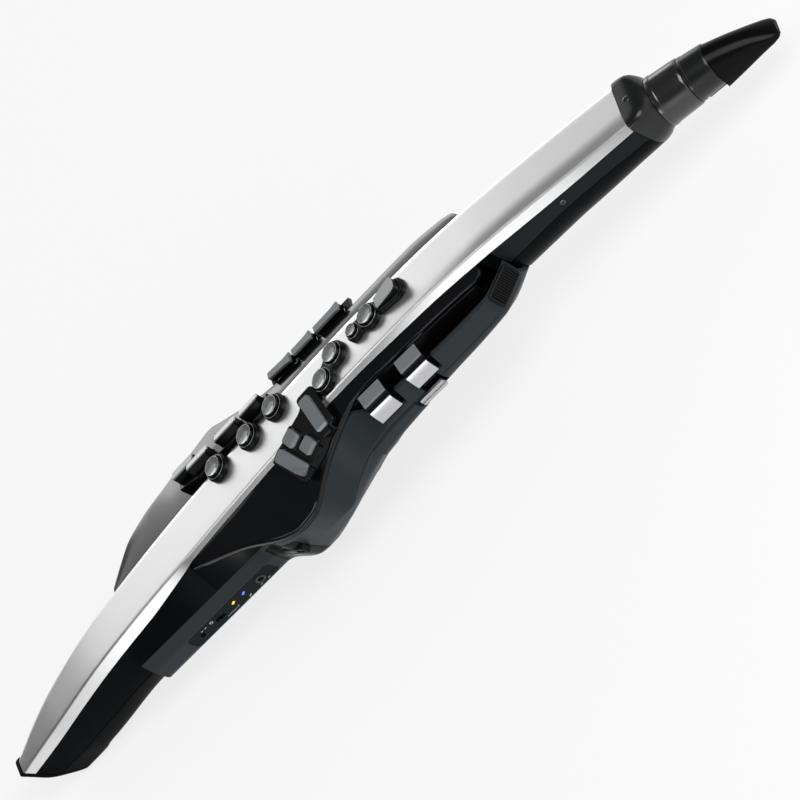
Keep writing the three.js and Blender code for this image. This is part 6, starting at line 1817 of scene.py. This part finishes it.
@dataclass
class JackPanel:
    """Sunk panel on the pod's right side with its sockets, lamps, switch and plain marks."""

    at: float = 0.2695
    long: float = 70.0
    high: float = 12.4
    corner: float = 3.0
    deep: float = 1.6
    thick: float = 1.1
    hole: float = 1.9
    phones: float = 23.8
    inlet: float = -26.6
    slot_at: float = -10.85
    slot: tuple[float, float] = (7.0, 3.0)
    knob: tuple[float, float] = (3.0, 2.4)
    knob_out: float = 1.3

    @property
    def seat(self) -> Seat:
        """Frame on the pod's side: X along the body, Y up the side, Z out of it."""
        x = along(self.at)
        so, su = LINES.side_out.at(x), LINES.side_up.at(x)
        lo, lu = LINES.lower_out.at(x), LINES.lower_up.at(x)
        turn = math.atan2(so - lo, su - lu)
        c, s = math.cos(turn), math.sin(turn)
        return Seat((x, -(so + lo) / 2, (su + lu) / 2), ((1.0, 0.0, 0.0), (0.0, -s, c), (0.0, -c, -s)))

    @property
    def top(self) -> float:
        """Height of the sunk panel's face in its seat."""
        return -self.deep + GAP + self.thick

    def pocket(self) -> Surface:
        """Cutting block of the sunk panel."""
        return block(self.seat, soft_rectangle(self.long + 0.6, self.high + 0.6, self.corner + GAP),
                     [(0, -self.deep), (0, 6)])

    def holes(self) -> list[Surface]:
        """Cutting solids of the two sockets and the switch slot."""
        through = [(0, -8), (0, 6)]
        posts = [block(self.seat, circle(u, 0, self.hole, steps=28), through)
                 for u in (self.phones, self.inlet)]
        return [*posts, block(self.seat.moved(self.slot_at), soft_rectangle(*self.slot, 0.4), through)]

    def ring(self, name: str, u: float, outer: float, finish: Finish, rise: float) -> None:
        """Round lip about a socket, standing on the panel."""
        t = np.linspace(0, math.pi, 9)
        middle, half = (outer + self.hole) / 2, (outer - self.hole) / 2
        crown = np.column_stack([middle + half * np.cos(t), self.top + rise * (0.4 + 0.6 * np.sin(t))])
        profile = np.vstack([[self.hole, self.top - 0.6], [outer, self.top - 0.6], crown])
        piece(name, turned(profile, self.seat.moved(u), 40, closed=True), finish)

    def mark(self, name: str, u: float, v: float, long: float, wide: float, turn: float = 0.0,
             finish: Optional[Finish] = None, rise: float = 0.03) -> None:
        """Small flat print or lamp window on the panel; print when no finish is given."""
        outline = soft_rectangle(long, wide, min(long, wide) * 0.3, 4)
        levels = [(0, -0.2), (0, rise * 0.5), (min(long, wide) * 0.12, rise)]
        piece(name, block(self.seat.moved(u, v, self.top, turn), outline, levels), finish or MARK)

    def build(self) -> None:
        """Make the panel and all that is on it."""
        seat, low = self.seat, -self.deep + GAP
        plate = block(seat, soft_rectangle(self.long, self.high, self.corner, 8),
                      [(0, low), (0, self.top - 0.25), (0.25, self.top)])
        piece("jack_plate", plate, POD, stands_for=["jack_panel"], tools=self.holes())
        self.ring("phones_lip", self.phones, 3.5, SATIN, 0.45)
        self.ring("inlet_lip", self.inlet, 2.7, BASE, 0.25)
        inner, outer = self.hole - 0.35, self.hole - 0.02
        bore = np.array([[inner, -7.5], [outer, -7.5], [outer, low], [inner, low]])
        for name, u, finish in (("phones_bore", self.phones, CHROME), ("inlet_bore", self.inlet, HOLLOW)):
            piece(name, turned(bore, seat.moved(u), 28, closed=True), finish)
        pin = np.array([[0, -7.4], [0.55, -7.4], [0.55, low - 0.6], [0.35, low - 0.3], [0, low - 0.3]])
        piece("inlet_pin", turned(pin, seat.moved(self.inlet), 20), CHROME)
        spot = seat.moved(self.slot_at - self.slot[0] / 2 + self.knob[0] / 2 + GAP)
        body = block(spot, soft_rectangle(*self.knob, 0.4),
                     [(0, -self.deep), (0, self.knob_out - 0.3), (0.3, self.knob_out)])
        ribs = [block(spot.moved(u), soft_rectangle(0.35, 4, 0.1), [(0, self.knob_out - 0.35), (0, 5)])
                for u in (-0.7, 0.0, 0.7)]
        piece("switch_knob", body, BASE, "power_switch", stands_for=["power_switch"], tools=ribs)
        self.mark("lamp_blue", 10.3, 1.7, 3.0, 1.5, 0.5, BLUE_LIGHT, 0.12)
        self.mark("lamp_amber", 1.7, 1.9, 2.8, 1.5, 0.5, AMBER_LIGHT, 0.12)
        self.mark("mark_short", 10.8, -4.3, 2.4, 0.8, 0.4)
        self.mark("mark_line", -3.6, -3.9, 10.0, 0.28)
        self.mark("mark_tick", 1.35, -3.2, 0.28, 1.5)
        for i, (u, v) in enumerate(((-24.5, 3.3), (-21.5, 3.3), (27.0, -4.4), (20.6, -4.4))):
            self.mark(f"mark_dash_{i}", u, v, 1.6, 0.5)
        inner, outer, bottom, top = 0.75, 1.15, self.top - 0.2, self.top + 0.03
        symbol = np.array([[inner, bottom], [outer, bottom], [outer, top], [inner, top]])
        piece("mark_ring", turned(symbol, seat.moved(-16.6, 3.0), 32, closed=True), MARK)


JACKS = JackPanel()


@dataclass
class SoundVent:
    """Ribbed plate on the slanting end of the shell."""

    long: float = 22.6
    high: float = 12.8
    plate: float = 0.8
    rib: float = 0.8
    ribs: int = 14
    span: tuple[float, float] = (0.6615, 0.688)
    stand: float = 1.1

    @property
    def seat(self) -> Seat:
        """Frame on the four corners of the slanting face."""
        x = np.array([along(self.span[0]), along(self.span[1])])
        rim = np.column_stack([x, *LINES.right_rim(x)])
        side = np.column_stack([x, -LINES.side_out(x), LINES.side_up(x)])
        along_face = unit(rim[1] + side[1] - rim[0] - side[0])
        up = rim.sum(axis=0) - side.sum(axis=0)
        up = unit(up - along_face * (up @ along_face))
        out = np.cross(along_face, up)
        middle = (rim.sum(axis=0) + side.sum(axis=0)) / 4 + out * self.stand
        return Seat(tuple(middle), (tuple(along_face), tuple(up), tuple(out)))

    def build(self) -> None:
        """Make the plate with its deep slots between ribs."""
        seat, top = self.seat, 2 * self.plate
        slots = []
        for i in range(self.ribs - 1):
            share = (i + 0.5) / (self.ribs - 1)
            u = -self.long / 2 + 1.5 * self.rib + (self.long - 3 * self.rib) * share
            slots.append(block(seat.moved(u), soft_rectangle(0.62, self.high - 2.6, 0.25, 3),
                               [(0, self.plate * 0.6), (0, 5)]))
        levels = [(0, 0), (0, self.plate), (0.35, top - 0.25), (0.75, top)]
        piece("vent_grille", block(seat, soft_rectangle(self.long, self.high, 1.6), levels), BASE,
              stands_for=["sound_vent"], tools=slots)


@dataclass
class BackParts:
    """Battery door, thumb hook, strap ring and the left thumb's plate with its two octave keys."""

    door_at: float = 0.256
    door: tuple[float, float, float] = (80.0, 29.0, 2.0)
    lap: float = 3.0
    hook_at: float = 0.44
    hook_wide: float = 11.0
    hook_thick: float = 3.2
    hook_foot: float = 22.0
    curl: float = 14.0
    ring_at: float = 0.527
    ring_hole: float = 5.0
    wire: float = 2.2
    ring_foot: float = 15.0
    thumb_at: float = 0.607
    thumb: tuple[float, float, float] = (62.0, 24.0, 2.6)
    rest: float = 20.0
    octave: tuple[float, float, float] = (13.0, 17.0, 3.2)
    octave_gap: float = 2.6

    def slope(self, x: float, reach: float) -> tuple[float, float]:
        """Height of the back under a place and its slope over a reach."""
        low, mid, high = LINES.bottom(np.array([x - reach / 2, x, x + reach / 2]))
        return float(mid), math.atan2(high - low, reach)

    def battery_door(self) -> None:
        """Door plate with rounded edges, five thumb grooves and a round dent."""
        x = along(self.door_at)
        back, _ = self.slope(x, 10)
        long, wide, thick = self.door
        seat = Seat((x, 0.0, back - GAP), ((1.0, 0.0, 0.0), (0.0, -1.0, 0.0), (0.0, 0.0, -1.0)))
        levels = [(0, -GAP * 0.8), (0, thick - 0.8), (0.15, thick - 0.35), (0.5, thick - 0.06), (0.8, thick)]
        plate = block(seat, soft_rectangle(long, wide, 6, 9), levels)
        grooves = [block(seat.moved(-long / 2 + self.lap * (2.6 + i) - 1, 0), soft_rectangle(1.3, 14, 0.6),
                         [(0, thick - 0.5), (0, 9)]) for i in range(5)]
        grooves.append(block(seat.moved(-long / 2 + self.lap * 2 + 24, 0), circle(0, 0, 1.6, steps=24),
                             [(0, thick - 0.4), (0, 9)]))
        piece("door_plate", plate, SHELL, "battery_door", stands_for=["battery_door"], edge=Edge.HAIR,
              tools=grooves)

    def thumb_hook(self) -> None:
        """Hook outline: foot on the belly, then an arm that curls towards the bell."""
        x = along(self.hook_at)
        back, slope = self.slope(x, self.hook_foot)
        top, h, curl = back - 1.5 * GAP, self.hook_thick, self.curl
        deep = (BELLY + top - math.sin(slope) * curl) / math.cos(slope) + h / 4
        foot = self.hook_foot * 0.7
        raw = np.array([[
            [-h * 0.4, 0], [foot, 0], [foot, -h * 0.7], [h * 1.6, -h], [h, -deep * 0.5],
            [h * 0.2, -deep * 0.85], [-curl * 0.4, -deep], [-curl, -deep + h * 0.3], [-curl, -deep + h],
            [-curl * 0.4, -deep + h * 1.05], [-h * 0.25, -deep * 0.8 + h * 0.4], [-h * 0.4, -deep * 0.5]]])
        ring = rounded(raw, (0, 0, 1.2, 4, 6, 6, 5, 1.4, 1.4, 5, 5, 6), 7)[0]
        c, s = math.cos(slope), math.sin(slope)
        seat = Seat((x, -self.hook_wide / 2, top), ((c, 0, s), (-s, 0, c), (0, 1, 0)))
        piece("hook_arm", block(seat, ring, [(0, 0), (0, self.hook_wide)]), BASE, stands_for=["thumb_hook"],
              edge=Edge.FULL)
        for i, (u, v) in enumerate(((foot - 3.2, 4.2), (foot - 3.2, -4.2))):
            place = np.array([x, v, top]) + u * np.array([c, 0, s]) + (h * 0.78) * np.array([s, 0, -c])
            screw(f"hook_screw_{i}", Seat(tuple(place), ((c, 0, s), (0, -1, 0), (s, 0, -c))), 1.5)

    def strap_ring(self) -> None:
        """Chrome eye on two feet."""
        x = along(self.ring_at)
        back, slope = self.slope(x, 10)
        c, s = math.cos(slope), math.sin(slope)
        seat = Seat((x, 2.0, back - 1.5 * GAP), ((c, 0, s), (s, 0, -c), (0, -1, 0)))
        r = self.ring_hole + self.wire
        arc = circle(0, r, r, -0.25, math.pi + 0.25, 34)
        raw = np.concatenate([[[self.ring_foot / 2, 0]], arc, [[-self.ring_foot / 2, 0]]])
        hole = block(seat, circle(0, r, self.ring_hole, steps=48), [(0, -2), (0, 6)])
        piece("strap_eye_ring", block(seat, raw, [(0, 0), (0, 4.0)]), CHROME, stands_for=["strap_ring"],
              edge=Edge.FULL, tools=[hole])

    def thumb_plate(self) -> None:
        """Plate, raised rest and the two octave keys."""
        x = along(self.thumb_at)
        long, wide, thick = self.thumb
        back, slope = self.slope(x, long)
        c, s = math.cos(slope), math.sin(slope)
        seat = Seat((x, 0, back - 1.6 * GAP), ((c, 0, s), (0, -1, 0), (s, 0, -c)))
        key_long, key_wide, out = self.octave
        at = self.rest / 2 + self.octave_gap + key_long / 2
        well = soft_rectangle(key_long + 0.7, key_wide + 0.7, 2.0)
        wells = [block(seat.moved(side * at), well, [(0, -3), (0, 9)]) for side in (-1, 1)]
        levels = [(0, -1.2), (0, thick - 0.7), (0.2, thick - 0.2), (0.7, thick)]
        piece("thumb_base", block(seat, soft_rectangle(long, wide, 5, 9), levels), BASE,
              stands_for=["thumb_plate"], edge=Edge.HAIR, tools=wells)
        rise = thick + out / 3

        def hollow(ring: Array) -> Array:
            """Dish of the rest, deepest in its middle."""
            return 0.35 * (np.abs(ring[:, 0]) / (self.rest / 2)) ** 2 - 0.35

        levels = [(0, thick - 0.5), (0, rise - 0.5), (0.25, rise - 0.12), (0.8, rise), (3.0, rise)]
        rest = block(seat, soft_rectangle(self.rest, wide * 0.72, 4.2, 9), levels, hollow)
        piece("thumb_rest", rest, TOUCH)
        top = thick + out
        for node, side in (("octave_key_down", -1), ("octave_key_up", 1)):
            key = block(seat.moved(side * at), soft_rectangle(key_long, key_wide, 2.2, 8),
                        [(0, 1.8), (0, top - 0.9), (0.15, top - 0.4), (0.5, top - 0.1), (1.0, top)])
            piece(f"{node}_pad", key, TOUCH, node, stands_for=[node])

    def build(self) -> None:
        """Make all parts of the back."""
        self.battery_door()
        self.thumb_hook()
        self.strap_ring()
        self.thumb_plate()


# Studio.


@dataclass
class Studio:
    """White floor and background, soft lamps and the camera of the catalogue view."""

    right: tuple[float, float, float] = (0.652, -0.267, -0.711)
    up: tuple[float, float, float] = (0.645, 0.688, 0.333)
    centre: tuple[float, float, float] = (281.5, 90.0, -83.6)
    across: float = 0.46
    floor: float = 0.0
    clearing: float = 0.78
    aim: tuple[float, float, float] = (0.0, 0.0, 0.05)
    fall: tuple[float, float] = (0.25, 0.55)
    end_span: tuple[float, float] = (-0.8, -0.47)
    end_level: float = 0.2
    card_way: tuple[float, float, float] = (-0.73, 0.68, 0.0)
    card_span: tuple[float, float] = (0.83, 0.97)
    card_level: float = 0.3

    def plane(self, name: str, size: float, tone: float) -> None:
        """Pale floor that shows in part as plain white to the camera, in metal and through clear pieces.

        Args:
            name: name of the floor and of its finish.
            size: length of its sides in metres.
            tone: its own colour, from 0 for black to 1 for white.
        """
        mesh, s = bpy.data.meshes.new(name), size / 2
        corners = [(x, y, self.floor) for x, y in ((-s, -s), (s, -s), (s, s), (-s, s))]
        mesh.from_pydata(corners, [], [(0, 1, 2, 3)])
        made = bpy.data.objects.new(name, mesh)
        bpy.context.scene.collection.objects.link(made)
        skin = bpy.data.materials.new(name)
        skin.use_nodes = True
        graph, nodes = Graph(skin.node_tree), skin.node_tree.nodes
        shader = nodes["Principled BSDF"]
        graph.join((tone, tone, tone, 1), shader.inputs["Base Color"])
        graph.join(0.9, shader.inputs["Roughness"])
        path = graph.add("LightPath").outputs
        seen = graph.maths("MAXIMUM", path["Is Camera Ray"], path["Is Glossy Ray"])
        seen = graph.maths("MAXIMUM", seen, path["Is Transmission Ray"])
        share = graph.maths("MULTIPLY", seen, self.clearing)
        white = graph.add("Emission").outputs["Emission"]
        mix = graph.add("MixShader", {"Fac": share, 1: shader.outputs["BSDF"], 2: white})
        graph.join(mix.outputs["Shader"], nodes["Material Output"].inputs["Surface"])
        mesh.materials.append(skin)

    def lamp(self, name: str, place: Sequence[float], size: tuple[float, float], power: float) -> None:
        """Soft area lamp at a place in metres, turned to the instrument."""
        data = bpy.data.lights.new(name, "AREA")
        data.shape = "RECTANGLE"
        data.size, data.size_y = size
        data.energy = power
        made = bpy.data.objects.new(name, data)
        made.location = place
        made.rotation_euler = (Vector(self.aim) - Vector(place)).to_track_quat("-Z", "Y").to_euler()
        bpy.context.scene.collection.objects.link(made)

    def world(self, low: float, high: float) -> None:
        """Studio surround: bright round the horizon and darker overhead, with a dark card and a dark end.

        The level falls smoothly with the height, and darkens towards -X and about one direction.

        Args:
            low: level at the horizon and below.
            high: level overhead.
        """
        world = bpy.data.worlds.new("Studio")
        world.use_nodes = True
        graph, back = Graph(world.node_tree), world.node_tree.nodes["Background"].inputs
        ray = graph.add("TexCoord").outputs["Generated"]
        part = graph.add("SeparateXYZ", {"Vector": ray}).outputs
        level = graph.blend(part["Z"], *self.fall, low, high)
        end = graph.blend(part["X"], *self.end_span, self.end_level, 1.0)
        near = graph.add("VectorMath", {0: ray, 1: self.card_way}, operation="DOT_PRODUCT")
        card = graph.blend(near.outputs["Value"], *self.card_span, 1.0, self.card_level)
        graph.join((1, 1, 1, 1), back["Color"])
        graph.join(graph.maths("MULTIPLY", graph.maths("MULTIPLY", level, end), card), back["Strength"])
        bpy.context.scene.world = world

    def camera(self) -> None:
        """Parallel camera whose axes are the photograph's right and up directions."""
        data = bpy.data.cameras.new("Catalogue view")
        data.type = "ORTHO"
        data.ortho_scale = self.across
        data.clip_end = 20.0
        right, up = Vector(self.right).normalized(), Vector(self.up)
        up = (up - right * up.dot(right)).normalized()
        back = right.cross(up)
        made = bpy.data.objects.new("Catalogue view", data)
        centre = Vector([(c + s) * MM for c, s in zip(self.centre, SHIFT)])
        place = centre + back * 2.0
        made.matrix_world = Matrix(((right.x, up.x, back.x, place.x), (right.y, up.y, back.y, place.y),
                                    (right.z, up.z, back.z, place.z), (0, 0, 0, 1)))
        bpy.context.scene.collection.objects.link(made)
        bpy.context.scene.camera = made

    def build(self) -> None:
        """Set floor, lamps, world and camera."""
        self.plane("Floor", 12.0, 0.9)
        self.lamp("Top", (1.24, -0.5, 1.49), (1.2, 1.2), 24.0)
        self.lamp("Panel side", (-0.92, 1.63, 1.32), (1.5, 1.3), 6.4)
        self.lamp("Ridge", (-0.8, -0.5, 1.76), (1.6, 0.35), 4.5)
        self.lamp("Left low", (-0.66, 1.9, 0.42), (1.2, 0.5), 5.0)
        self.lamp("Right low", (-0.75, -1.9, 0.5), (1.0, 0.55), 6.0)
        self.world(1.0, 0.16)
        self.camera()


def main() -> None:
    """Build the instrument, dress the inner parts and set the studio."""
    logging.basicConfig(level=logging.WARNING)
    scene = bpy.context.scene
    scene.view_settings.view_transform = "Standard"
    cover = FrontCover()
    cover.build()
    Bell(cover).build()
    Wings().build()
    RearShell().build()
    Neck().build()
    MOUTH.build()
    stacks = PearlStacks()
    stacks.build()
    LittleFingerTable().build()
    SideKeys().build(stacks)
    Rail().build()
    PalmKeys().build()
    JACKS.build()
    SoundVent().build()
    BackParts().build()
    for node, finish in (("main_board", RESIN), ("battery_holder", CELLS), ("breath_sensor", BASE),
                         ("speaker", CONE)):
        dress(node, finish)
    Studio().build()


if __name__ == "__main__":
    main()
